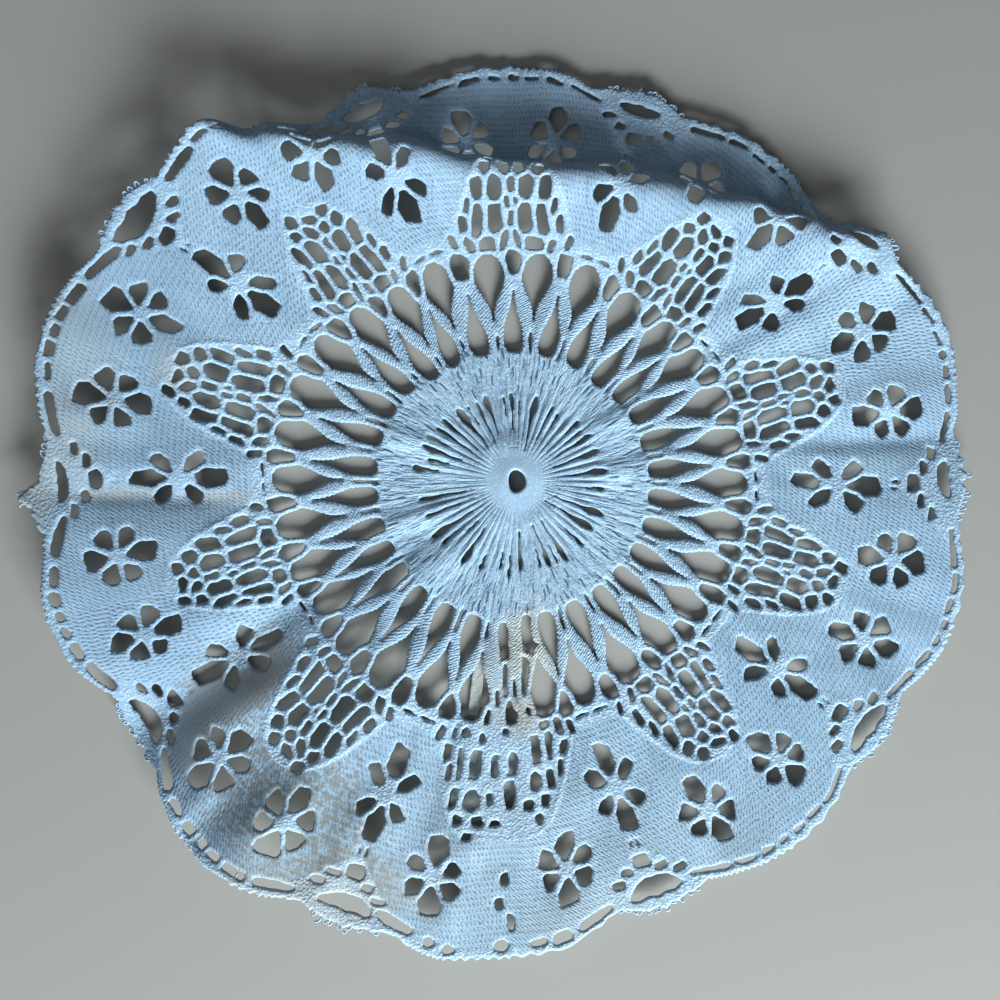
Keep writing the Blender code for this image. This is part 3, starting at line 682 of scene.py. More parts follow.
class Repeat:
    """The holes of one repeat, about the middle of its net wedge."""

    def __init__(self, rng, wedge):
        self.rng = rng
        self.wedge, self.lobe = wedge, wedge + 0.5 * REPEAT_DEG
        self.is_seam = wedge == SEAM_CHART_DEG
        self.loops = []

    def add(self, chart_deg, radius, shape, turn=0.0, reach=CORNER_REACH, shift=0.1):
        """Adds a hole, stretched as the lace is there, and a little off its place and turn."""
        turn += self.rng.uniform(-2.0, 2.0)
        pull = 1.0 if self.is_seam else 0.5 + 0.5 * stretch_at(chart_deg)
        shape = np.asarray(shape, float) * (pull, 1.0)
        if reach == CORNER_REACH:
            shape = roughened(self.rng, shape)
        where = direction_of(chart_deg) + math.degrees(self.rng.uniform(-shift, shift) / radius)
        radius += self.rng.uniform(-shift, shift)
        self.loops.append(placed(where, radius, rounded(shape, reach), turn))

    def add_drop(self, side, size):
        self.add(self.wedge + side, middle_of(size), drop_hole(self.rng, size), reach=DROP_CORNER, shift=0.15)

    def add_drops(self):
        """The two rings of drops, with a slit inside each large one and an oval outside each small one."""
        for side in LARGE_DROP_SIDES_DEG:
            self.add_drop(side, LARGE_DROP)
            width = THIN_SLIT["width_mm"] * self.rng.uniform(0.8, 1.4)
            slit = lens(self.rng, width, length_of(THIN_SLIT) * self.rng.uniform(0.6, 1.0))
            self.add(self.wedge + side, middle_of(THIN_SLIT), slit, shift=0.3)
        for side in SMALL_DROP_SIDES_DEG:
            if self.is_seam and side == 0.0:
                continue
            self.add_drop(side, SMALL_DROP)
            wide, tall = self.rng.uniform(0.9, 1.15, 2)
            oval = cell(self.rng, SMALL_OVAL["width_mm"] * wide, SMALL_OVAL["length_mm"] * tall)
            self.add(self.wedge + side, SMALL_OVAL["middle_mm"], oval)

    def add_net(self):
        """The wedge's net, or at the seam the holes between its two ends."""
        for side, middle, width, length, lean in NET_HOLES:
            if self.is_seam and abs(side) < SEAM_HALF_DEG:
                continue
            wide = NET_GROWTH + width * self.rng.uniform(0.95, 1.12)
            tall = NET_GROWTH + length * self.rng.uniform(0.95, 1.06)
            self.add(self.wedge + side, middle, cell(self.rng, wide, tall, lean))
        for direction, middle, width, length, lean in SEAM_HOLES if self.is_seam else ():
            hole = roughened(self.rng, cell(self.rng, width, length, lean))
            self.loops.append(placed(direction, middle, rounded(hole)))

    def add_flower(self, chart_deg, radius, holes, most_tilt):
        tilt = self.rng.uniform(-most_tilt, most_tilt)
        for hole in holes:
            self.add(chart_deg, radius, petal(self.rng, *hole), tilt, shift=0.05)

    def add_flowers(self):
        """Two flowers over the wedge and one in the lobe, which has two slits at its foot."""
        for side in (-OUTER_FLOWER_SIDE_DEG, OUTER_FLOWER_SIDE_DEG):
            self.add_flower(self.wedge + side, OUTER_FLOWER_RADIUS, OUTER_FLOWER, 5.0)
        self.add_flower(self.lobe, INNER_FLOWER_RADIUS, INNER_FLOWER, 4.0)
        for side, middle, length, width in LOBE_FOOT_SLITS:
            self.add(self.lobe + side, middle, lens(self.rng, width, length), 90.0)

    def add_valley(self):
        """The valley's eyelet, and the small holes of the lattice under it."""
        eyelet = uneven(self.rng, EYELET, 0.12) * EYELET_STRETCH[int(round(self.lobe % 360.0))]
        self.add(self.lobe + EYELET_SIDE_DEG, EYELET_RADIUS, eyelet)
        for side, middle, width, length, lean in VALLEY_HOLES:
            self.add(self.lobe + side, middle, cell(self.rng, width, length, lean))

    def add_rim(self):
        """The slits beside the braid, each along its own stretch of the edge."""
        for side, inwards, along, width in RIM_SLITS:
            is_wide = WIDE_RIM_FROM < direction_of(self.wedge + side) % 360.0 < WIDE_RIM_TO
            more_long, more_wide = WIDE_RIM if is_wide else (1.0, 1.0)
            from_valley = side - math.copysign(0.5 * REPEAT_DEG, side)
            radii = table_at(EDGE_PROFILE, [from_valley - 1.0, from_valley + 1.0])
            slope = math.degrees(math.atan2(radii[1] - radii[0], math.radians(2.0) * radii.mean()))
            long = along * more_long * self.rng.uniform(0.8, 1.1)
            shape = cell(self.rng, long, width * more_wide * self.rng.uniform(0.8, 1.2))
            middle = float(radii.mean()) - inwards - WIDE_RIM_SHIFT * (more_wide - 1.0)
            self.add(self.wedge + side, middle, shape, slope)

    def made(self):
        """All its loops, in the order in which chance is drawn."""
        self.add_drops()
        self.add_net()
        self.add_flowers()
        self.add_valley()
        self.add_rim()
        return self.loops


def hub_loops(rng):
    """The middle hole, not quite round, and the slits in the grooves between the gathers."""
    turns = np.radians(np.arange(0.0, 360.0, 15.0))
    radii = HUB_HOLE_RADIUS * (1.0 + 0.1 * np.cos(turns - 0.9) + 0.05 * np.cos(3.0 * turns))
    loops = [rounded(flat_xy(turns, radii) * HUB_HOLE_STRETCH)]
    directions = np.arange(0.0, 360.0, 0.05)
    free = list(np.interp(2.0 * math.pi * (np.arange(RIBS) + 0.5), rib_phase(directions), directions))
    for direction, start, end, head in HUB_SLITS:
        groove = min(free, key=lambda place: abs(turn_between(direction, place)))
        free.remove(groove)
        along = np.linspace(0.0, 1.0, SLIT_POINTS)
        half = np.maximum(0.5 * head * table_at(SLIT_PROFILE, along), SLIT_TAIL)
        half = half + rng.uniform(-0.05, 0.05, SLIT_POINTS)
        sway = 0.09 * np.sin(2.0 * math.pi * along * rng.uniform(1.2, 2.2) + rng.uniform(0.0, 6.0))
        y = (along - 0.5) * (end - start)
        loop = np.concatenate([np.stack([sway + half, y], axis=1), np.stack([sway - half, y], axis=1)[::-1]])
        loops.append(placed(groove, 0.5 * (start + end), rounded(loop, DROP_CORNER), rng.uniform(-1.5, 1.5)))
    return loops


def all_loops():
    rng = np.random.default_rng(SEED)
    loops = hub_loops(rng)
    for k in range(REPEATS):
        loops += Repeat(rng, k * REPEAT_DEG).made()
    return loops


# ---- The flat mesh, cut along the holes and the edge ----


def ring_radii():
    radii = [RING_START]
    while radii[-1] < RING_END:
        radii.append(radii[-1] + float(table_at(STEPS, radii[-1])))
    return radii


def zipped(inner, outer):
    """Triangles between two rings' points, running anticlockwise."""
    inner_mid = (np.arange(len(inner) - 1) + 0.5) / (len(inner) - 1)
    outer_mid = (np.arange(len(outer) - 1) + 0.5) / (len(outer) - 1)
    apex_in = np.searchsorted(inner_mid, outer_mid)
    apex_out = np.searchsorted(outer_mid, inner_mid, side="right")
    return np.concatenate([
        np.stack([inner[apex_in], outer[:-1], outer[1:]], axis=1),
        np.stack([inner[:-1], outer[apex_out], inner[1:]], axis=1),
    ])


def flat_mesh():
    """Rings of points round the hub, joined into triangles, and each triangle's gore."""
    borders = direction_of(np.array(GORE_CHARTS))
    directions, outs, rings, start = [], [], [], 0
    for radius in ring_radii():
        step = ROUND_STEP * float(table_at(STEPS, radius))
        counts = [max(3, math.ceil(arc * radius / step)) for arc in np.radians(np.diff(borders))]
        for a, b, count in zip(borders, borders[1:], counts):
            directions.append(np.linspace(a, b, count, endpoint=False))
        total = sum(counts)
        offsets = np.concatenate([[0], np.cumsum(counts)])
        rings.append([start + np.arange(a, b + 1) % total for a, b in zip(offsets, offsets[1:])])
        outs.append(np.full(total, radius))
        start += total
    triangles, gores = [], []
    for inner, outer in zip(rings, rings[1:]):
        for gore in range(len(inner)):
            triangles.append(zipped(inner[gore], outer[gore]))
            gores.append(np.full(len(triangles[-1]), gore))
    return np.concatenate(directions), np.concatenate(outs), np.concatenate(triangles), np.concatenate(gores)


def loop_distance(points, loop):
    """Distance from points to a loop, negative inside it."""
    after = np.roll(loop, -1, axis=0)
    run = after - loop
    offset = points[:, None] - loop[None]
    share = np.clip((offset * run).sum(2) / np.maximum((run * run).sum(1), TINY ** 2), 0.0, 1.0)
    nearest = np.sqrt(((offset - run * share[:, :, None]) ** 2).sum(2).min(1))
    crosses = (loop[None, :, 1] > points[:, None, 1]) != (after[None, :, 1] > points[:, None, 1])
    rise = np.where(np.abs(run[:, 1]) < TINY ** 2, TINY ** 2, run[:, 1])
    at = loop[None, :, 0] + (points[:, None, 1] - loop[None, :, 1]) * (run[:, 0] / rise)[None]
    inside = (crosses & (points[:, None, 0] < at)).sum(1) % 2 == 1
    return np.where(inside, -nearest, nearest)


def cloth_distance(directions, outs, loops):
    """How far each flat point lies within the lace's material: negative in a hole or past the edge.

    Between two holes that meet, a cord of THINNEST_CORD is kept along the line as far from one as the other.
    """
    step = 0.2
    slope = (edge_radius(directions + step) - edge_radius(directions - step)) / (2.0 * math.radians(step))
    radius = edge_radius(directions)
    found = (radius - outs) / np.sqrt(1.0 + (slope / radius) ** 2)
    points = flat_xy(np.radians(directions), outs)
    second = np.full(len(found), FAR)
    order = np.argsort(points[:, 0], kind="stable")
    sorted_x = points[order, 0]
    margin = 1.2 * BAR_ROUND
    for loop in loops:
        low, high = loop.min(0) - margin, loop.max(0) + margin
        band = order[np.searchsorted(sorted_x, low[0]):np.searchsorted(sorted_x, high[0])]
        y = points[band, 1]
        near = band[(y > low[1]) & (y < high[1])]
        if len(near):
            distance = loop_distance(points[near], loop)
            second[near] = np.minimum(second[near], np.maximum(found[near], distance))
            found[near] = np.minimum(found[near], distance)
    return np.maximum(found, 0.5 * (THINNEST_CORD - (second - found)))


def cut_mesh(directions, outs, triangles, gores, distance):
    """Keeps the part of the flat mesh where the distance is positive. New points lie on the cut.

    Returns the points' directions, radii and distances, which of them lie on the cut, the triangles and
    their gores.
    """
    inside = distance > 0.0
    count = inside[triangles].sum(1)
    rolled, crossed = [], []
    for inner_count in (1, 2):
        some = triangles[count == inner_count]
        odd = (inside[some] == (inner_count == 1)).argmax(1)
        rolled.append(np.stack([some[np.arange(len(some)), (odd + k) % 3] for k in range(3)], axis=1))
        crossed += [rolled[-1][:, [0, 1]], rolled[-1][:, [0, 2]]]
    edges, where = np.unique(np.sort(np.concatenate(crossed), axis=1), axis=0, return_inverse=True)
    a, b = edges.T
    share = np.clip(distance[a] / (distance[a] - distance[b]), CUT_CLEARANCE, 1.0 - CUT_CLEARANCE)
    new = np.split(len(directions) + where.reshape(-1), np.cumsum([len(pairs) for pairs in crossed])[:-1])
    tip, base = rolled
    faces = np.concatenate([
        triangles[count == 3],
        np.stack([tip[:, 0], new[0], new[1]], axis=1),
        np.stack([new[2], base[:, 1], base[:, 2]], axis=1),
        np.stack([new[2], base[:, 2], new[3]], axis=1),
    ])
    gores = np.concatenate([gores[count == 3], gores[count == 1], gores[count == 2], gores[count == 2]])
    new_directions = directions[a] + turn_between(directions[a], directions[b]) * share
    used, faces = np.unique(faces, return_inverse=True)
    return (
        np.concatenate([directions, new_directions])[used],
        np.concatenate([outs, outs[a] + (outs[b] - outs[a]) * share])[used],
        np.maximum(np.concatenate([distance, np.zeros(len(edges))])[used], 0.0),
        used >= len(directions), faces.reshape(-1, 3), gores,
    )


def stitch_kinds(directions, outs):
    """How far the lace is cloth stitch, leaf bar, and the cord round a wedge: shares from 0 to 1."""
    side = np.abs(np.mod(chart_of(directions) + 0.5 * REPEAT_DEG, REPEAT_DEG) - 0.5 * REPEAT_DEG)
    past_wedge = np.radians(side - table_at(WEDGE_HALF, outs)) * outs
    past_valley = np.radians(0.5 * REPEAT_DEG - side - table_at(VALLEY_HALF, outs)) * outs
    cloth = smooth(past_wedge, *WEDGE_EDGE) * smooth(outs, *CLOTH_START)
    cloth = cloth * np.where(outs > VALLEY_START, smooth(past_valley, *VALLEY_EDGE), 1.0)
    cloth = cloth * smooth(edge_radius(directions) - outs, RIM_CORD, RIM_CORD + RIM_BLEND)
    for middle_side, radius, (half_width, half_length, shift) in SPOKED:
        u = np.radians(side - middle_side) * outs / half_width
        v = (outs - radius - shift) / half_length
        cloth = cloth * smooth(np.sqrt(u * u + v * v), *SPOKED_EDGE)
    border = np.exp(-((past_wedge - BORDER_PLACE) / BORDER_WIDTH) ** 2) * within(outs, *BORDER)
    return cloth, within(outs, *BARS), border


def swell(distance, thickness, roundness):
    """Half a rounded thread's thickness, by the distance from its side."""
    share = np.minimum(distance / roundness, 1.0)
    return thickness * np.sqrt(np.maximum(1.0 - (1.0 - share) ** 2, 0.0))


def half_thickness(directions, outs, distance, cloth, bars, border):
    """The rounded threads: how far the lace's two faces stand from its middle surface."""
    cord = swell(distance, CORD_THICKNESS, CORD_ROUND) * (1.0 - bars)
    cord = cord + swell(distance, BAR_THICKNESS, BAR_ROUND) * bars
    rows = ROW_RELIEF * np.minimum(distance / CLOTH_ROUND, 1.0) * np.cos(2.0 * math.pi * outs / ROW_PITCH)
    woven = swell(distance, CLOTH_THICKNESS, CLOTH_ROUND) + rows
    rim = (1.0 - smooth(edge_radius(directions) - outs, *PLAIT_INWARDS)) * smooth(outs, *PLAIT_OUT)
    plait = 1.0 + PLAIT_DEPTH * rim * np.sin(np.radians(directions) * outs * 2.0 * math.pi / PLAIT_PITCH)
    both = cord * (1.0 - cloth) * plait + woven * cloth
    return both + BORDER_RISE * border * np.minimum(distance / CORD_ROUND, 1.0)


def vertex_normals(points, faces):
    """Area-weighted normals of the whole surface, so that the gores' borders don't show."""
    a, b, c = points[faces[:, 0]], points[faces[:, 1]], points[faces[:, 2]]
    face = np.cross(b - a, c - a)
    total = np.zeros_like(points)
    for corner in range(3):
        for axis in range(3):
            total[:, axis] += np.bincount(faces[:, corner], face[:, axis], minlength=len(points))
    return total / np.maximum(np.linalg.norm(total, axis=1), TINY ** 2)[:, None]


def border_walls(faces, on_cut, bottom_id):
    """Triangles that close a gore along its borders, from its upper points to the ones under them."""
    edges = np.concatenate([faces[:, [0, 1]], faces[:, [1, 2]], faces[:, [2, 0]]])
    _, first, uses = np.unique(np.sort(edges, axis=1), axis=0, return_index=True, return_counts=True)
    open_edges = edges[first[uses == 1]]
    a, b = open_edges[~on_cut[open_edges].all(1)].T
    walls = np.concatenate([
        np.stack([b, a, bottom_id[a]], axis=1),
        np.stack([b, bottom_id[a], bottom_id[b]], axis=1),
    ])
    return walls[(walls != np.roll(walls, -1, axis=1)).all(1)]


def link(name, data):
    """A new object in the scene."""
    made = bpy.data.objects.new(name, data)
    bpy.context.scene.collection.objects.link(made)
    return made


def make_piece(name, points_mm, faces, materials, normals=None, attributes=()):
    """A piece of smooth triangles, with given normals, and named values at its points or corners."""
    points = (points_mm + np.array([HUB_X, HUB_Y, 0.0])) * MM
    mesh = bpy.data.meshes.new(name)
    mesh.vertices.add(len(points))
    mesh.vertices.foreach_set("co", np.ascontiguousarray(points, np.float32).ravel())
    mesh.loops.add(3 * len(faces))
    mesh.loops.foreach_set("vertex_index", np.ascontiguousarray(faces, np.int32).ravel())
    mesh.polygons.add(len(faces))
    mesh.polygons.foreach_set("loop_start", np.arange(0, 3 * len(faces), 3, dtype=np.int32))
    mesh.polygons.foreach_set("use_smooth", np.ones(len(faces), bool))
    mesh.update(calc_edges=True)
    for key, domain, values in attributes:
        made = mesh.attributes.new(key, "FLOAT_VECTOR", domain)
        made.data.foreach_set("vector", np.ascontiguousarray(values, np.float32).ravel())
    if normals is not None:
        mesh.normals_split_custom_set_from_vertices(np.ascontiguousarray(normals, np.float32))
    for material in materials:
        mesh.materials.append(material)
    return link(name, mesh)


# ---- Materials ----

# Off-white cotton, with the blue cast of cool daylight painted into these tones
COTTON = (0.555, 0.72, 0.84, 1.0)
COTTON_SHADE = (0.32, 0.455, 0.57, 1.0)
CORD_WHITE = (0.60, 0.75, 0.86, 1.0)
CORD_SHADE = (0.36, 0.49, 0.60, 1.0)
HUB_WHITE = (0.60, 0.76, 0.87, 1.0)
UNDER_WHITE = (0.66, 0.66, 0.60, 1.0)
UNDER_SHADE = (0.40, 0.42, 0.40, 1.0)
# painted shade for the gaps between threads, the hub's grooves and the weft
PAINTED_GAP_SHADE = (0.10, 0.16, 0.23, 1.0)
SHEER_COLOUR = (0.285, 0.28, 0.26, 1.0)
YELLOWED, BROWNED = (0.60, 0.56, 0.43), (0.38, 0.29, 0.18)
FLOOR_COLOUR = (0.40, 0.36, 0.31, 1.0)
HUB_THREADS, HUB_GAP_PITCH = 150.0, 2.3  # threads round the hub, and how far apart their gaps lie outwards
STREAKS_ROUND, STREAKS_OUT = 24.0, 0.30  # how fast the hub's streaks change, round it and outwards
WEFT_PITCH = 0.52

# Patches of age, the first a broad warm-grey tint over the bottom, partly yellowing and partly painted warm
# light bounced from the floor: place from the hub, how far they reach, how strong, and whether brown or
# yellow.
STAINS = (
    # x_mm, y_mm, reach_x_mm, reach_y_mm, strength, brownness
    # partly yellowing, partly painted warm light bounced from the floor
    (0.0, -66.0, 80.0, 26.0, 0.14, 0.35),
    (-80.0, -1.0, 7.0, 8.0, 0.80, 0.35),
    (-74.0, 5.0, 8.0, 9.0, 0.45, 0.35),
    (-66.0, -2.0, 13.0, 1.7, 0.75, 0.7),
    (-50.0, -2.6, 11.0, 1.8, 0.45, 0.5),
    (-71.0, 17.0, 8.0, 15.0, 0.45, 0.3),
    (-73.0, 30.0, 6.0, 7.0, 0.35, 0.5),
    (-56.5, 18.5, 5.0, 5.0, 0.55, 0.3),
    (2.0, -28.0, 7.0, 9.0, 0.70, 0.15),
    (1.0, -38.5, 5.0, 5.0, 0.60, 0.8),
    (-5.0, -34.0, 3.0, 9.0, 0.40, 0.3),
    (14.0, -73.0, 16.0, 7.0, 0.2, 0.2),
    (-34.0, -68.0, 24.0, 8.0, 0.38, 0.3),
)

# Painted shade: the lace made darker at the left, at the back, at the right, and in one patch at the lower
# left where it slopes away from the light.
PAINTED_SHADE_COLOUR = (0.24, 0.33, 0.42, 1.0)
PAINTED_SHADE_SIDES = (
    # axis, from_mm and to_mm of the ramp, strength at its start, strength at its end
    ("X", -58.0, -38.0, 0.52, 0.0),
    ("Y", 26.0, 48.0, 0.0, 0.30),
    ("X", 56.0, 70.0, 0.0, 0.30),
)
PAINTED_SHADE_PATCH, PAINTED_SHADE_PATCH_STRENGTH = (-25.0, -20.0, 20.0, 16.0), 0.5  # x_mm, y_mm, reach_x_mm, reach_y_mm

SOCKET_KINDS = {type(None): "NodeSocketVector", float: "NodeSocketFloat", tuple: "NodeSocketColor"}


class Nodes:
    """Adds nodes to one tree. A value is a number, a vector, a colour or another node's output."""

    def __init__(self, tree):
        self.tree = tree

    def feed(self, socket, value):
        if isinstance(value, bpy.types.NodeSocket):
            self.tree.links.new(value, socket)
        else:
            socket.default_value = value

    def add(self, kind, *values, named=None, **settings):
        """A node with its settings. Values go to its inputs in order, and named ones by their labels."""
        node = self.tree.nodes.new("ShaderNode" + kind)
        for key, value in settings.items():
            setattr(node, key, value)
        for socket, value in zip(node.inputs, values):
            self.feed(socket, value)
        for label, value in (named or {}).items():
            self.feed(node.inputs[label], value)
        return node

    def maths(self, operation, *values):
        return self.add("Math", *values, operation=operation).outputs[0]

    def times(self, first, second):
        return self.maths("MULTIPLY", first, second)

    def times_plus(self, value, factor, added):
        return self.maths("MULTIPLY_ADD", value, factor, added)

    def centred(self, value):
        return self.maths("SUBTRACT", value, 0.5)

    def off_middle(self, value):
        """How far a value's fraction lies from a half."""
        return self.maths("ABSOLUTE", self.centred(self.maths("FRACT", value)))

    def most(self, first, *others):
        for other in others:
            first = self.maths("MAXIMUM", first, other)
        return first

    def vector(self, operation, *values):
        return self.add("VectorMath", *values, operation=operation).outputs[0]

    def parts(self, vector):
        return self.add("SeparateXYZ", vector).outputs

    def point(self, x, y, z=0.0):
        return self.add("CombineXYZ", x, y, z).outputs[0]

    def ramp(self, value, start, end, low=0.0, high=1.0):
        """A smooth ramp from low at start to high at end."""
        named = {"Value": value, "From Min": start, "From Max": end, "To Min": low, "To Max": high}
        return self.add("MapRange", named=named, interpolation_type="SMOOTHSTEP").outputs["Result"]

    def fade(self, value, start, end, high=1.0):
        """A smooth ramp from high at start to 0 at end."""
        return self.ramp(value, start, end, high, 0.0)

    def noise(self, place, scale, detail=2.0, roughness=0.5):
        named = {"Vector": place, "Scale": scale, "Detail": detail, "Roughness": roughness}
        return self.add("TexNoise", named=named).outputs["Fac"]

    def chance(self, number):
        """A random value from 0 to 1 for each number."""
        return self.add("TexWhiteNoise", named={"W": number}, noise_dimensions="1D").outputs["Value"]

    def chance_at(self, place):
        """A random value from 0 to 1 for each place."""
        return self.add("TexWhiteNoise", place, noise_dimensions="3D").outputs["Value"]

    def mixed(self, share, first, second):
        """Mixes two colours."""
        node = self.add("Mix", data_type="RGBA")
        for index, value in ((0, share), (6, first), (7, second)):
            self.feed(node.inputs[index], value)
        return node.outputs[2]

    def attribute(self, name):
        return self.add("Attribute", attribute_name=name).outputs["Vector"]

    def use(self, made, **values):
        """Places a node group, with a _ for each space in its labels. Returns its outputs."""
        named = {label.replace("_", " "): value for label, value in values.items()}
        return self.add("Group", named=named, node_tree=made).outputs


def new_group(name, inputs, outputs, kind="NodeSocketFloat"):
    """A node group. Its inputs' values give their kinds: none for a vector, four numbers for a colour."""
    tree = bpy.data.node_groups.new(name, "ShaderNodeTree")
    for label, value in inputs.items():
        socket = tree.interface.new_socket(name=label, in_out="INPUT", socket_type=SOCKET_KINDS[type(value)])
        if value is not None:
            socket.default_value = value
    for label in outputs:
        tree.interface.new_socket(name=label, in_out="OUTPUT", socket_type=kind)
    return Nodes(tree), tree.nodes.new("NodeGroupInput").outputs, tree.nodes.new("NodeGroupOutput").inputs


def weave_group():
    """Rows of slanted gaps between the threads of cloth stitch. Chart is across, out and depth in mm."""
    nodes, given, out = new_group(
        "bobbin_weave",
        {
            "Chart": None, "Row Pitch": ROW_PITCH, "Thread Pitch": 0.66, "Slant": 0.6,
            "Gap Width": 0.19, "Gap Length": 0.33, "Looseness": 0.0,
        },
        ("Gaps", "Relief", "Stitch"),
    )
    chart = nodes.parts(given["Chart"])
    fine = nodes.noise(given["Chart"], 2.1, 1.0)
    across = nodes.times_plus(nodes.centred(nodes.noise(given["Chart"], 0.45)), 0.9, chart["X"])
    along = nodes.times_plus(nodes.centred(fine), 0.35, chart["Y"])
    rows = nodes.maths("DIVIDE", along, given["Row Pitch"])
    row = nodes.maths("FLOOR", rows)
    threads = nodes.maths("ADD", nodes.chance(row), nodes.maths("DIVIDE", across, given["Thread Pitch"]))
    slanted = nodes.times_plus(nodes.maths("FRACT", rows), given["Slant"], threads)
    lane, end = nodes.off_middle(slanted), nodes.off_middle(rows)
    stitch = nodes.point(nodes.maths("FLOOR", nodes.maths("ADD", slanted, 0.5)), row)
    width = nodes.times_plus(given["Looseness"], 0.16, given["Gap Width"])
    length = given["Gap Length"]
    beside = nodes.fade(lane, nodes.times(width, 0.35), nodes.times(width, 1.35))
    ended = nodes.fade(end, nodes.times(length, 0.6), nodes.times(length, 1.25))
    gaps = nodes.times(nodes.times(beside, ended), nodes.ramp(fine, 0.3, 0.62, 0.2, 1.0))
    full = nodes.times(nodes.ramp(lane, 0.0, 0.4), nodes.ramp(end, 0.5, 0.2, 0.5, 1.0))
    nodes.feed(out["Gaps"], gaps)
    nodes.feed(out["Relief"], nodes.maths("SUBTRACT", nodes.times(full, 0.7), nodes.times(gaps, 0.8)))
    nodes.feed(out["Stitch"], nodes.chance_at(stitch))
    return nodes.tree


def fibre_group():
    """The fine mottling of cotton thread: lights and darks, and their relief."""
    nodes, given, out = new_group(
        "cotton_fibre",
        {"Position": None, "Scale": 3600.0, "Contrast": 1.0, "Stitches": 0.5},
        ("Shade", "Relief"),
    )
    scaling = {"Vector": given["Position"], "Scale": given["Scale"]}
    scaled = nodes.add("VectorMath", named=scaling, operation="SCALE").outputs[0]
    beads = nodes.add("TexVoronoi", named={"Vector": scaled, "Scale": 0.8}, feature="F1").outputs["Distance"]
    bead = nodes.fade(beads, 0.1, 0.75)
    both = nodes.times_plus(bead, given["Stitches"], nodes.times(nodes.noise(scaled, 1.0, 3.0, 0.6), 0.7))
    level = nodes.times_plus(given["Stitches"], 0.55, 0.35)
    nodes.feed(out["Shade"], nodes.times(nodes.maths("SUBTRACT", both, level), given["Contrast"]))
    nodes.feed(out["Relief"], both)
    return nodes.tree


def reached(nodes, position, x, y, reach_x, reach_y):
    """How far off a place beside the hub lies, as a share of a reach across and a reach up."""
    offset = nodes.vector("SUBTRACT", position, ((x + HUB_X) * MM, (y + HUB_Y) * MM, 0.0))
    scaled = nodes.vector("MULTIPLY", offset, (1.0 / (reach_x * MM), 1.0 / (reach_y * MM), 0.0))
    return nodes.add("VectorMath", scaled, operation="LENGTH").outputs["Value"]


def stain_and_shade_group():
    """Yellowed and browned stains, which have ragged borders, and painted shade at the sides and in one
    patch.
    """
    nodes, given, out = new_group(
        "stains_and_painted_shade", {"Position": None, "Colour": (0.8, 0.8, 0.8, 1.0)}, ("Colour",), "NodeSocketColor"
    )
    position, colour = given["Position"], given["Colour"]
    ragged = nodes.centred(nodes.noise(position, 260.0, 4.0, 0.65))
    for *place, strength, brownness in STAINS:
        reach = nodes.times_plus(ragged, 1.1, reached(nodes, position, *place))
        tone = [yellow + (brown - yellow) * brownness for yellow, brown in zip(YELLOWED, BROWNED)]
        colour = nodes.mixed(nodes.fade(reach, 0.25, 1.15, strength), colour, (*tone, 1.0))
    axes = nodes.parts(position)
    # painted shade: ramps darker towards the sides, and a patch where the lace slopes away from the light
    painted_shade = [nodes.fade(reached(nodes, position, *PAINTED_SHADE_PATCH), 0.25, 1.1, PAINTED_SHADE_PATCH_STRENGTH)]
    for axis, start, end, low, high in PAINTED_SHADE_SIDES:
        painted_shade.append(nodes.ramp(axes[axis], start * MM, end * MM, low, high))
    nodes.feed(out["Colour"], nodes.mixed(nodes.most(*painted_shade), colour, PAINTED_SHADE_COLOUR))
    return nodes.tree


class Kit:
    """The shared node groups, built once."""

    def __init__(self):
        self.weave = weave_group()
        self.fibre = fibre_group()
        self.stains_and_shade = stain_and_shade_group()


class Cotton(Nodes):
    """A matt cotton material, with the place on its piece."""

    def __init__(self, kit, name, roughness, sheen):
        self.kit, self.material = kit, bpy.data.materials.new(name)
        self.material.use_nodes = True
        super().__init__(self.material.node_tree)
        self.shader = self.tree.nodes["Principled BSDF"].inputs
        self.shader["Roughness"].default_value = roughness
        self.shader["Metallic"].default_value = 0.0
        self.shader["Specular IOR Level"].default_value = 0.25
        self.shader["Sheen Weight"].default_value = sheen
        self.shader["Sheen Roughness"].default_value = 0.5
        self.position = self.add("TexCoord").outputs["Object"]

    def tone(self, contrast, light=COTTON, dark=COTTON_SHADE, stitches=0.5, scale=3600.0):
        """Thread colour with its fibre and slow variation. Returns colour and relief."""
        fibre = self.use(
            self.kit.fibre, Position=self.position, Contrast=contrast, Stitches=stitches, Scale=scale
        )
        slow = self.ramp(self.noise(self.position, 170.0, 3.0), 0.3, 0.7, 0.0, 0.22)
        shade = self.fade(self.maths("ADD", self.times(fibre["Shade"], 0.7), slow), -0.35, 0.55)
        return self.mixed(shade, light, dark), fibre["Relief"]

    def finish(self, colour, relief, depth_mm):
        """Adds the stains and the painted shade to the colour and joins it to the shader, with the relief as
        bumps. Returns the material.
        """
        stained_and_shaded = self.use(self.kit.stains_and_shade, Position=self.position, Colour=colour)["Colour"]
        self.feed(self.shader["Base Color"], stained_and_shaded)
        bump = self.add("Bump", named={"Strength": 1.0, "Distance": depth_mm * MM, "Height": relief})
        self.feed(self.shader["Normal"], bump.outputs["Normal"])
        return self.material


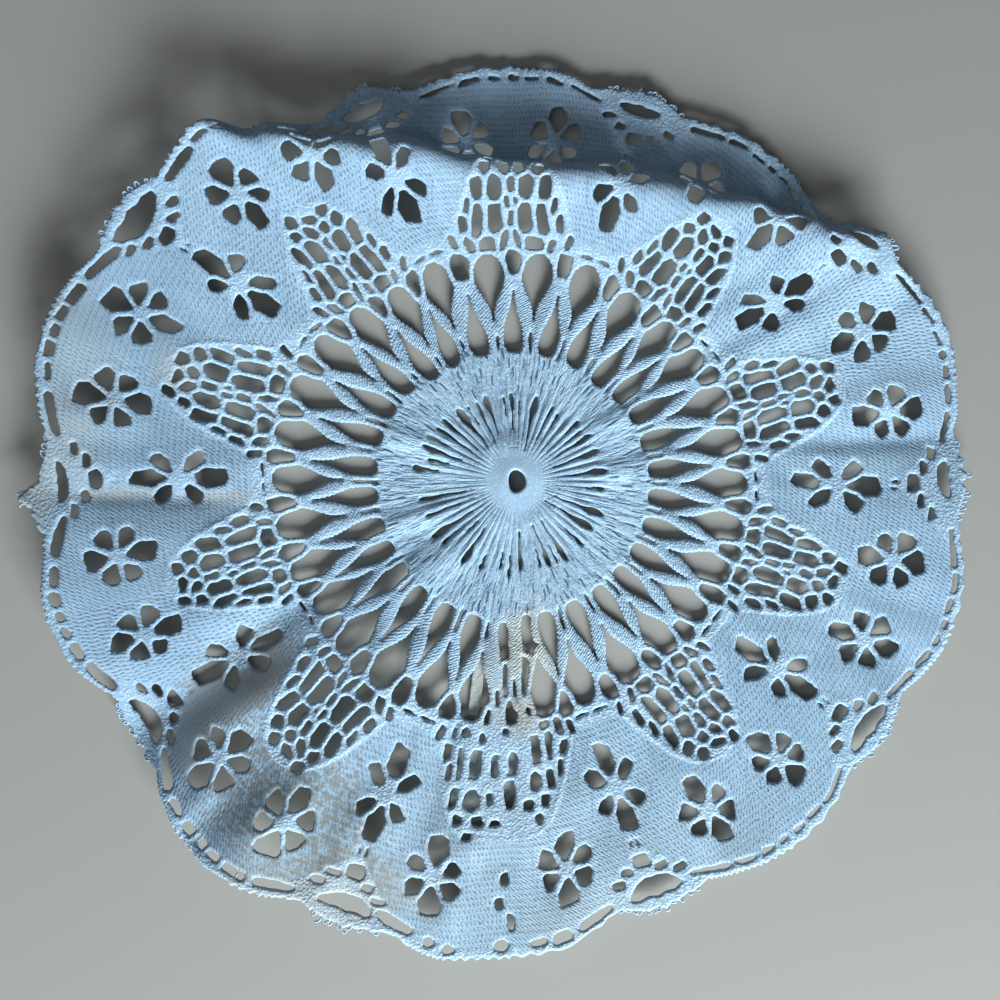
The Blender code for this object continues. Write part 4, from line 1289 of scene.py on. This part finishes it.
def cloth_material(kit):
    """Cloth stitch: woven gaps with painted shade in them, stitches of slightly different tones, and a thin,
    greyer patch.
    """
    nodes = Cotton(kit, "cloth_stitch", roughness=0.88, sheen=0.15)
    share, loose, lean = nodes.parts(nodes.attribute("stitch"))
    colour, fibre = nodes.tone(contrast=0.8)
    weave = nodes.use(kit.weave, Chart=nodes.attribute("chart"), Looseness=loose, Slant=lean)
    colour = nodes.mixed(nodes.times(nodes.ramp(weave["Stitch"], 0.0, 1.0), 0.28), colour, COTTON_SHADE)
    flecks = nodes.times_plus(nodes.noise(nodes.position, 1050.0, 3.0, 0.65), 3.6, -2.15)
    thin = nodes.ramp(nodes.times_plus(loose, 1.7, flecks), 0.1, 0.8, 0.0, 0.92)
    colour = nodes.mixed(thin, colour, SHEER_COLOUR)
    gaps = nodes.times(nodes.times(weave["Gaps"], share), nodes.times_plus(loose, -0.5, 0.78))
    # painted shade in the woven gaps
    colour = nodes.mixed(gaps, colour, PAINTED_GAP_SHADE)
    relief = nodes.times_plus(weave["Relief"], share, nodes.times(fibre, 0.5))
    relief = nodes.times(relief, nodes.times_plus(loose, -0.9, 1.0))
    return nodes.finish(colour, relief, depth_mm=0.055)


def cord_material(kit):
    """Plaits, the net's cords and the braid of the edge."""
    nodes = Cotton(kit, "plaited_cord", roughness=0.85, sheen=0.12)
    loose = nodes.parts(nodes.attribute("stitch"))["Y"]
    colour, fibre = nodes.tone(1.1, CORD_WHITE, CORD_SHADE, stitches=1.0, scale=2700.0)
    colour = nodes.mixed(nodes.times(loose, 0.18), colour, SHEER_COLOUR)
    return nodes.finish(colour, fibre, depth_mm=0.07)


def hub_material(kit):
    """The gathered middle: fine radial threads, with painted shade in their streaks, in the grooves between
    the gathers and in the short gaps between them further out.
    """
    nodes = Cotton(kit, "gathered_threads", roughness=0.86, sheen=0.12)
    across, out, _ = nodes.parts(nodes.attribute("chart"))
    groove = nodes.parts(nodes.attribute("stitch"))["Z"]
    offset = nodes.vector("SUBTRACT", nodes.position, (HUB_X * MM, HUB_Y * MM, 0.0))
    facing = nodes.parts(nodes.vector("NORMALIZE", nodes.vector("MULTIPLY", offset, (1.0, 1.0, 0.0))))
    streak_x, streak_y = (nodes.times(facing[axis], STREAKS_ROUND) for axis in ("X", "Y"))
    stretched = nodes.point(streak_x, streak_y, nodes.times(out, STREAKS_OUT))
    streak = nodes.noise(stretched, 1.25, 3.0, 0.6)
    colour, fibre = nodes.tone(0.9, HUB_WHITE)
    streaks = nodes.times(nodes.fade(streak, 0.32, 0.45), nodes.ramp(out, 5.0, 15.0, 0.1, 0.32))
    # painted shade in the grooves between the gathers
    groove_shade = nodes.times(nodes.ramp(groove, 0.55, 0.95), nodes.fade(out, 11.5, 15.5, 0.62))
    groove_shade = nodes.times(groove_shade, nodes.ramp(out, 3.0, 8.0))
    sway = nodes.centred(nodes.noise(nodes.position, 420.0, 1.0))
    swayed = nodes.times_plus(sway, 0.05, nodes.maths("DIVIDE", across, out))
    lanes = nodes.times(swayed, HUB_THREADS / (2.0 * math.pi))
    lane = nodes.maths("FLOOR", lanes)
    steps = nodes.times_plus(nodes.chance(lane), 3.0, nodes.maths("DIVIDE", out, HUB_GAP_PITCH))
    chance = nodes.chance_at(nodes.point(lane, nodes.maths("FLOOR", steps)))
    beside = nodes.fade(nodes.off_middle(lanes), 0.08, 0.24)
    ended = nodes.fade(nodes.off_middle(steps), 0.25, 0.48)
    dash = nodes.times(nodes.times(beside, ended), nodes.ramp(chance, 0.62, 0.85, 0.0, 0.9))
    dash = nodes.times(dash, nodes.ramp(out, 11.0, 15.0))
    # painted shade in the streaks, the grooves and the gaps
    colour = nodes.mixed(nodes.most(streaks, groove_shade, dash), colour, PAINTED_GAP_SHADE)
    threads = nodes.times(nodes.ramp(streak, 0.3, 0.6), nodes.ramp(out, 4.0, 7.5))
    relief = nodes.maths("ADD", threads, nodes.times(fibre, nodes.ramp(out, 3.0, 8.0, 0.08, 0.3)))
    relief = nodes.maths("SUBTRACT", relief, nodes.times(dash, 0.8))
    return nodes.finish(colour, relief, depth_mm=0.16)


def bar_material(kit):
    """Leaf bars: a tight weave whose weft crosses each bar, with painted shade between the weft threads."""
    nodes = Cotton(kit, "leaf_bar", roughness=0.86, sheen=0.14)
    across, out, _ = nodes.parts(nodes.attribute("chart"))
    colour, fibre = nodes.tone(0.9, CORD_WHITE, CORD_SHADE, stitches=0.9, scale=3000.0)
    wander = nodes.times_plus(nodes.noise(nodes.position, 900.0, 1.0), 0.5, out)
    slanted = nodes.times_plus(across, 0.75, wander)
    weft = nodes.maths("SINE", nodes.times(slanted, 2.0 * math.pi / WEFT_PITCH))
    # painted shade between the weft threads
    colour = nodes.mixed(nodes.fade(weft, -1.0, 0.3, 0.3), colour, PAINTED_GAP_SHADE)
    relief = nodes.times_plus(weft, 0.25, nodes.times(fibre, 0.8))
    return nodes.finish(colour, relief, depth_mm=0.10)


def under_material(kit):
    """The lace's other end, which lies underneath in the shade: a greyer, yellower cotton."""
    nodes = Cotton(kit, "under_layer", roughness=0.9, sheen=0.1)
    colour, fibre = nodes.tone(1.0, UNDER_WHITE, UNDER_SHADE)
    return nodes.finish(colour, fibre, depth_mm=0.06)


# ---- Pieces ----


def loosely_woven(places):
    """Where the cloth hangs thin and sheer, at the lower left, from 0 to 1."""
    found = np.zeros(len(places))
    for x, y, half_length, half_width, turn, amount in SHEER_PLACES:
        u, v = turned(places[:, 0] - x, places[:, 1] - y, -turn)
        off = np.sqrt((u / half_length) ** 2 + (v / half_width) ** 2)
        found = np.maximum(found, amount * (1.0 - smooth(off, *SHEER_EDGE)))
    return found


def charted(gore, directions, outs, distance):
    """Across, outwards and depth at each triangle's corners, across from the middle of its own lobe."""
    start = direction_of(GORE_CHARTS[gore])
    lying = start + np.mod(directions - start + TINY, 360.0)
    lobe = 0.5 * REPEAT_DEG + REPEAT_DEG * np.floor(chart_of(lying.mean(1)) / REPEAT_DEG)
    across = np.radians(lying - direction_of(lobe)[:, None]) * outs
    return np.stack([across, outs, distance], axis=2).reshape(-1, 3)


def kinds_of(directions, outs, cloth):
    """Which material each triangle has, by its corners."""
    out = outs.mean(1)
    hub_edge = HUB_EDGE - HUB_EDGE_WAVE * np.cos(2.0 * math.pi * chart_of(directions[:, 0]) / DROP_PITCH_DEG)
    beyond = np.where(cloth.mean(1) > 0.5, CLOTH_KIND, CORD_KIND)
    return np.where(out < hub_edge, HUB_KIND, np.where(out < BAR_END, BAR_KIND, beyond)).astype(np.int32)


def flat_area(points, faces):
    """The area of flat triangles."""
    a, b, c = points[faces[:, 0]], points[faces[:, 1]], points[faces[:, 2]]
    return float(0.5 * np.abs((b - a)[:, 0] * (c - a)[:, 1] - (b - a)[:, 1] * (c - a)[:, 0]).sum())


def lace_pieces(kit):
    """The lace as five lengths of two repeats each, which meet on the middles of their net wedges.

    Returns each piece with its flat area in square millimetres.
    """
    directions, outs, triangles, gores = flat_mesh()
    distance = cloth_distance(directions, outs, all_loops())
    directions, outs, distance, on_cut, faces, gores = cut_mesh(directions, outs, triangles, gores, distance)
    cloth, bars, border = stitch_kinds(directions, outs)
    middle, normal = surface_normal(directions, outs)
    half = half_thickness(directions, outs, distance, cloth, bars, border)[:, None]
    bottom = middle - normal * half
    bottom[:, 2] = np.maximum(bottom[:, 2], LOWEST)
    points = np.concatenate([middle + normal * half, bottom])
    count = len(outs)
    bottom_id = np.arange(count) + np.where(on_cut, 0, count)
    normals = vertex_normals(points, np.concatenate([faces, bottom_id[faces][:, ::-1]]))
    groove = rib_strength(directions) * (0.5 - 0.5 * np.cos(rib_phase(directions)))
    lean = LEAN * np.tanh(LEAN_TURN * np.sin(np.radians(LEAN_START_DEG + 2.0 * directions)))
    stitch = np.stack([cloth, loosely_woven(middle), np.where(outs < HUB_ZONE, groove, lean)], axis=1)
    flat = flat_xy(np.radians(directions), outs)
    materials = [hub_material(kit), bar_material(kit), cord_material(kit), cloth_material(kit)]
    made = []
    for gore in range(len(GORE_CHARTS) - 1):
        own = faces[gores == gore]
        shell = np.concatenate([own, bottom_id[own][:, ::-1], border_walls(own, on_cut, bottom_id)])
        used, local = np.unique(shell, return_inverse=True)
        local = local.reshape(-1, 3)
        corners = (used % count)[local]
        chart = charted(gore, directions[corners], outs[corners], distance[corners])
        piece = make_piece(
            f"lace_length_{gore + 1}", points[used], local, materials, normals[used],
            (("chart", "CORNER", chart), ("stitch", "POINT", stitch[used % count])),
        )
        kinds = kinds_of(directions[corners], outs[corners], cloth[corners])
        piece.data.polygons.foreach_set("material_index", kinds)
        made.append((piece, flat_area(flat, own)))
    return made


# ---- Loose threads and the other end of the lace, under the seam ----

PICOT_SIDES_DEG = (-4.6, -3.7, -2.8, -1.9, -1.1, -0.2, 0.6, 1.5, 2.4, 3.4, 4.4, 5.5)
PICOT_MISSED, PICOT_SHIFT_DEG = 0.25, 0.25  # the share that has worn off, and how uneven their places are
PICOT_FOOT = 0.2  # how far inside the edge they start
STRAY_THREADS = (
    # direction_deg and flat out_mm along each thread
    ((181.0, 75.8), (181.3, 77.2), (181.5, 77.7)),
    ((182.8, 75.5), (182.6, 76.8), (183.0, 77.2)),
    ((71.6, 72.4), (71.3, 73.9), (70.7, 74.3)),
    ((307.9, 73.4), (308.0, 74.8), (307.6, 75.2)),
    ((309.4, 73.6), (309.5, 74.9), (309.9, 75.2)),
    ((246.0, 73.2), (245.8, 74.5), (245.3, 74.8)),
    ((228.6, 73.0), (228.4, 74.3), (228.9, 74.7)),
    ((234.5, 73.4), (234.8, 74.8), (235.4, 75.0)),
)
THREAD_RADIUS = 0.17
THREAD_SIDES, THREAD_STEPS = 4, 4
UNDERLAP = (
    # direction_deg, inner_mm, outer_mm
    (257.3, 44.0, 49.0), (258.6, 41.0, 55.5), (260.5, 40.4, 57.5), (263.0, 40.8, 57.0), (266.0, 40.5, 56.0),
    (269.0, 40.8, 52.6), (271.0, 41.5, 50.8), (272.2, 43.0, 47.0),
)
UNDER_BAR = (
    # direction_deg, out_mm, half_width_mm
    (258.2, 26.0, 0.45), (258.4, 29.0, 0.75), (258.9, 33.0, 0.95), (259.3, 36.0, 1.0), (259.5, 39.5, 0.8),
)
UNDER_STEP_DEG, UNDER_STEPS, UNDER_BAR_STEPS = 0.2, 40, 9
UNDER_HEIGHT, UNDER_THICKNESS = 0.34, 0.16
UNDER_WAVE, UNDER_WAVES_OUT, UNDER_WAVES_ROUND = 0.05, 2.3, 160.0  # height, and how fast it comes and goes


def tube(points, radii):
    """A closed tube along a line of points. Returns its points and its triangles."""
    run = np.gradient(points, axis=0)
    run /= np.linalg.norm(run, axis=1)[:, None]
    side = np.cross(run, (0.0, 0.0, 1.0))
    side /= np.maximum(np.linalg.norm(side, axis=1), TINY)[:, None]
    up = np.cross(side, run)
    sides, count = THREAD_SIDES, len(points)
    turns = 2.0 * math.pi * np.arange(sides) / sides
    ring = side[:, None] * np.cos(turns)[None, :, None] + up[:, None] * np.sin(turns)[None, :, None]
    skin = (points[:, None] + ring * radii[:, None, None]).reshape(-1, 3)
    first, last = count * sides, count * sides + 1
    faces = []
    for i in range(count - 1):
        for j in range(sides):
            a, b = i * sides + j, i * sides + (j + 1) % sides
            faces += [(a, a + sides, b), (b, a + sides, b + sides)]
    for j in range(sides):
        k = (j + 1) % sides
        faces += [(j, k, first), (first - sides + k, first - sides + j, last)]
    return np.concatenate([skin, points[:1], points[-1:]]), np.array(faces)


def bent(points):
    """A smooth line through a few places."""
    points = np.asarray(points, float)
    before, after = np.concatenate([points[:1], points[:-1]]), np.concatenate([points[1:], points[-1:]])
    share = (np.arange(THREAD_STEPS) / THREAD_STEPS)[:, None]
    s2, s3 = share ** 2, share ** 3
    made = []
    for i, (start, end) in enumerate(zip(points, points[1:])):
        pull, push = 0.5 * (end - before[i]), 0.5 * (after[i + 1] - start)
        through = (2 * s3 - 3 * s2 + 1) * start + (3 * s2 - 2 * s3) * end
        made.append(through + (s3 - 2 * s2 + share) * pull + (s3 - s2) * push)
    return np.concatenate([*made, points[-1:]])


def joined(parts):
    """Several meshes' points and triangles as one mesh's."""
    starts = np.cumsum([0, *(len(points) for points, _ in parts)])
    return (
        np.concatenate([points for points, _ in parts]),
        np.concatenate([faces + start for (_, faces), start in zip(parts, starts)]),
    )


def picots(rng):
    """Small loops of thread round the valleys of the edge, as directions and radii."""
    for k in range(REPEATS):
        for side in PICOT_SIDES_DEG:
            if rng.uniform() < PICOT_MISSED:
                continue
            shift = rng.uniform(-PICOT_SHIFT_DEG, PICOT_SHIFT_DEG)
            where = float(direction_of(REPEAT_DEG * (k + 0.5) + side + shift))
            if FLAP[0][0] < where % 360.0 < FLAP[-1][0]:
                continue
            edge = float(edge_radius(where)) - PICOT_FOOT
            wide, tall = rng.uniform(0.16, 0.34), rng.uniform(0.4, 0.95)
            lean = rng.uniform(-0.3, 0.3)
            yield [
                (where - wide, edge), (where - 0.9 * wide + 0.5 * lean, edge + 0.7 * tall),
                (where + lean, edge + tall), (where + 0.9 * wide + 0.5 * lean, edge + 0.65 * tall),
                (where + wide, edge),
            ]


def loose_threads(kit):
    """The picots and the stray ends, as one piece."""
    tubes = []
    for line in [*picots(np.random.default_rng(SEED + 1)), *STRAY_THREADS]:
        centre = middle_surface(*bent(line).T)
        share = np.linspace(0.0, 1.0, len(centre))
        swelling = np.sqrt(np.clip(8.0 * np.minimum(share, 1.0 - share), 0.0, 1.0))
        tubes.append(tube(centre, THREAD_RADIUS * (0.55 + 0.45 * swelling)))
    return make_piece("edge_threads", *joined(tubes), [cord_material(kit)])


def closed_layer(directions, outs):
    """A thin closed layer over a grid of places."""
    rows, columns = directions.shape
    angle = np.radians(directions)
    height = UNDER_HEIGHT + UNDER_WAVE * np.sin(outs * UNDER_WAVES_OUT) * np.sin(angle * UNDER_WAVES_ROUND)
    points = [np.dstack([flat_xy(angle, outs), z]).reshape(-1, 3) for z in (height, height - UNDER_THICKNESS)]
    index = np.arange(rows * columns).reshape(rows, columns)
    a, b = index[:-1, :-1].ravel(), index[1:, :-1].ravel()
    c, d = index[1:, 1:].ravel(), index[:-1, 1:].ravel()
    top = np.concatenate([np.stack([a, d, c], axis=1), np.stack([a, c, b], axis=1)])
    rim = np.concatenate([index[0, :-1], index[:-1, -1], index[-1, :0:-1], index[:0:-1, 0]])
    after, under = np.roll(rim, -1), rows * columns
    walls = [np.stack([after, rim, rim + under]).T, np.stack([after, rim + under, after + under]).T]
    return np.concatenate(points), np.concatenate([top, top[:, ::-1] + under, *walls])


def underlap_strip(kit):
    """The other end of the lace, seen in the seam's holes, and one leaf bar of it."""
    places, inner, outer = np.array(UNDERLAP).T
    directions = np.arange(places[0], places[-1], UNDER_STEP_DEG)[:, None]
    inner, outer = np.interp(directions, places, inner), np.interp(directions, places, outer)
    outs = inner + (outer - inner) * np.linspace(0.0, 1.0, UNDER_STEPS)
    lap = closed_layer(np.repeat(directions, UNDER_STEPS, axis=1), outs)
    places, out, half_width = np.array(UNDER_BAR).T
    along = np.linspace(out[0], out[-1], UNDER_STEPS)[None]
    middle, half = np.interp(along, out, places), np.interp(along, out, half_width)
    across = np.linspace(-1.0, 1.0, UNDER_BAR_STEPS)[:, None]
    bar = closed_layer(middle + np.degrees(across * half / along), np.repeat(along, UNDER_BAR_STEPS, axis=0))
    return make_piece("seam_underlap", *joined([lap, bar]), [under_material(kit)])


# ---- Floor, light and camera ----

CAMERA_X, CAMERA_Y, CAMERA_HEIGHT = -0.84, 1.80, 190.0
CAMERA_FIELD_DEG = 47.4
FLOOR_REACH, FLOOR_DROP = 900.0, 0.2
SKY_COLOUR, SKY_STRENGTH = (0.62, 0.74, 0.90, 1.0), 0.11
LIGHTS = (
    # name, place and size in metres, power in watts, colour
    ("window_light", (0.22, -0.62, 0.28), (0.44, 0.22), 13.0, (0.76, 0.90, 1.0)),
    ("fill_light", (-0.45, -0.25, 0.75), (0.6, 0.6), 0.9, (0.80, 0.90, 1.0)),
)


def make_floor():
    material = bpy.data.materials.new("pale_floor")
    material.use_nodes = True
    shader = material.node_tree.nodes["Principled BSDF"].inputs
    shader["Base Color"].default_value = FLOOR_COLOUR
    shader["Roughness"].default_value = 0.9
    mesh = bpy.data.meshes.new("floor")
    reach = FLOOR_REACH * MM
    corners = [(-reach, -reach, 0.0), (reach, -reach, 0.0), (reach, reach, 0.0), (-reach, reach, 0.0)]
    mesh.from_pydata(corners, [], [(0, 1, 2, 3)])
    mesh.materials.append(material)
    floor = link("floor", mesh)
    floor.location = (0.0, 0.0, -FLOOR_DROP * MM)


def area_light(name, place, size, power, colour):
    """A soft light that faces the lace."""
    light = bpy.data.lights.new(name, "AREA")
    light.shape = "RECTANGLE"
    light.size, light.size_y = size
    light.energy = power
    light.color = colour
    lamp = link(name, light)
    lamp.location = place
    lamp.rotation_euler = (-Vector(place)).to_track_quat("-Z", "Y").to_euler()


def make_studio():
    world = bpy.data.worlds.new("studio")
    world.use_nodes = True
    background = world.node_tree.nodes["Background"].inputs
    background["Color"].default_value = SKY_COLOUR
    background["Strength"].default_value = SKY_STRENGTH
    bpy.context.scene.world = world
    bpy.context.scene.view_settings.view_transform = "Standard"
    for light in LIGHTS:
        area_light(*light)


def make_camera():
    """A camera straight above the lace, with +Y as its top."""
    data = bpy.data.cameras.new("camera")
    data.sensor_width = 36.0
    data.lens = 0.5 * data.sensor_width / math.tan(math.radians(0.5 * CAMERA_FIELD_DEG))
    data.clip_start, data.clip_end = 0.01, 10.0
    camera = link("camera", data)
    camera.location = (CAMERA_X * MM, CAMERA_Y * MM, CAMERA_HEIGHT * MM)
    camera.rotation_euler = (0.0, 0.0, 0.0)
    bpy.context.scene.camera = camera


def declare(made, extras):
    """Every piece rides on the body and stands for the solid, which is hidden."""
    for piece in [*extras, *(length for length, _ in made)]:
        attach(piece, "root")
        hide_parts(NODE)
    for gore, (piece, area) in enumerate(made):
        first, last = direction_of(np.array(GORE_CHARTS[gore:gore + 2]))


make_camera()
make_studio()
make_floor()
kit = Kit()
declare(lace_pieces(kit), [loose_threads(kit), underlap_strip(kit)])
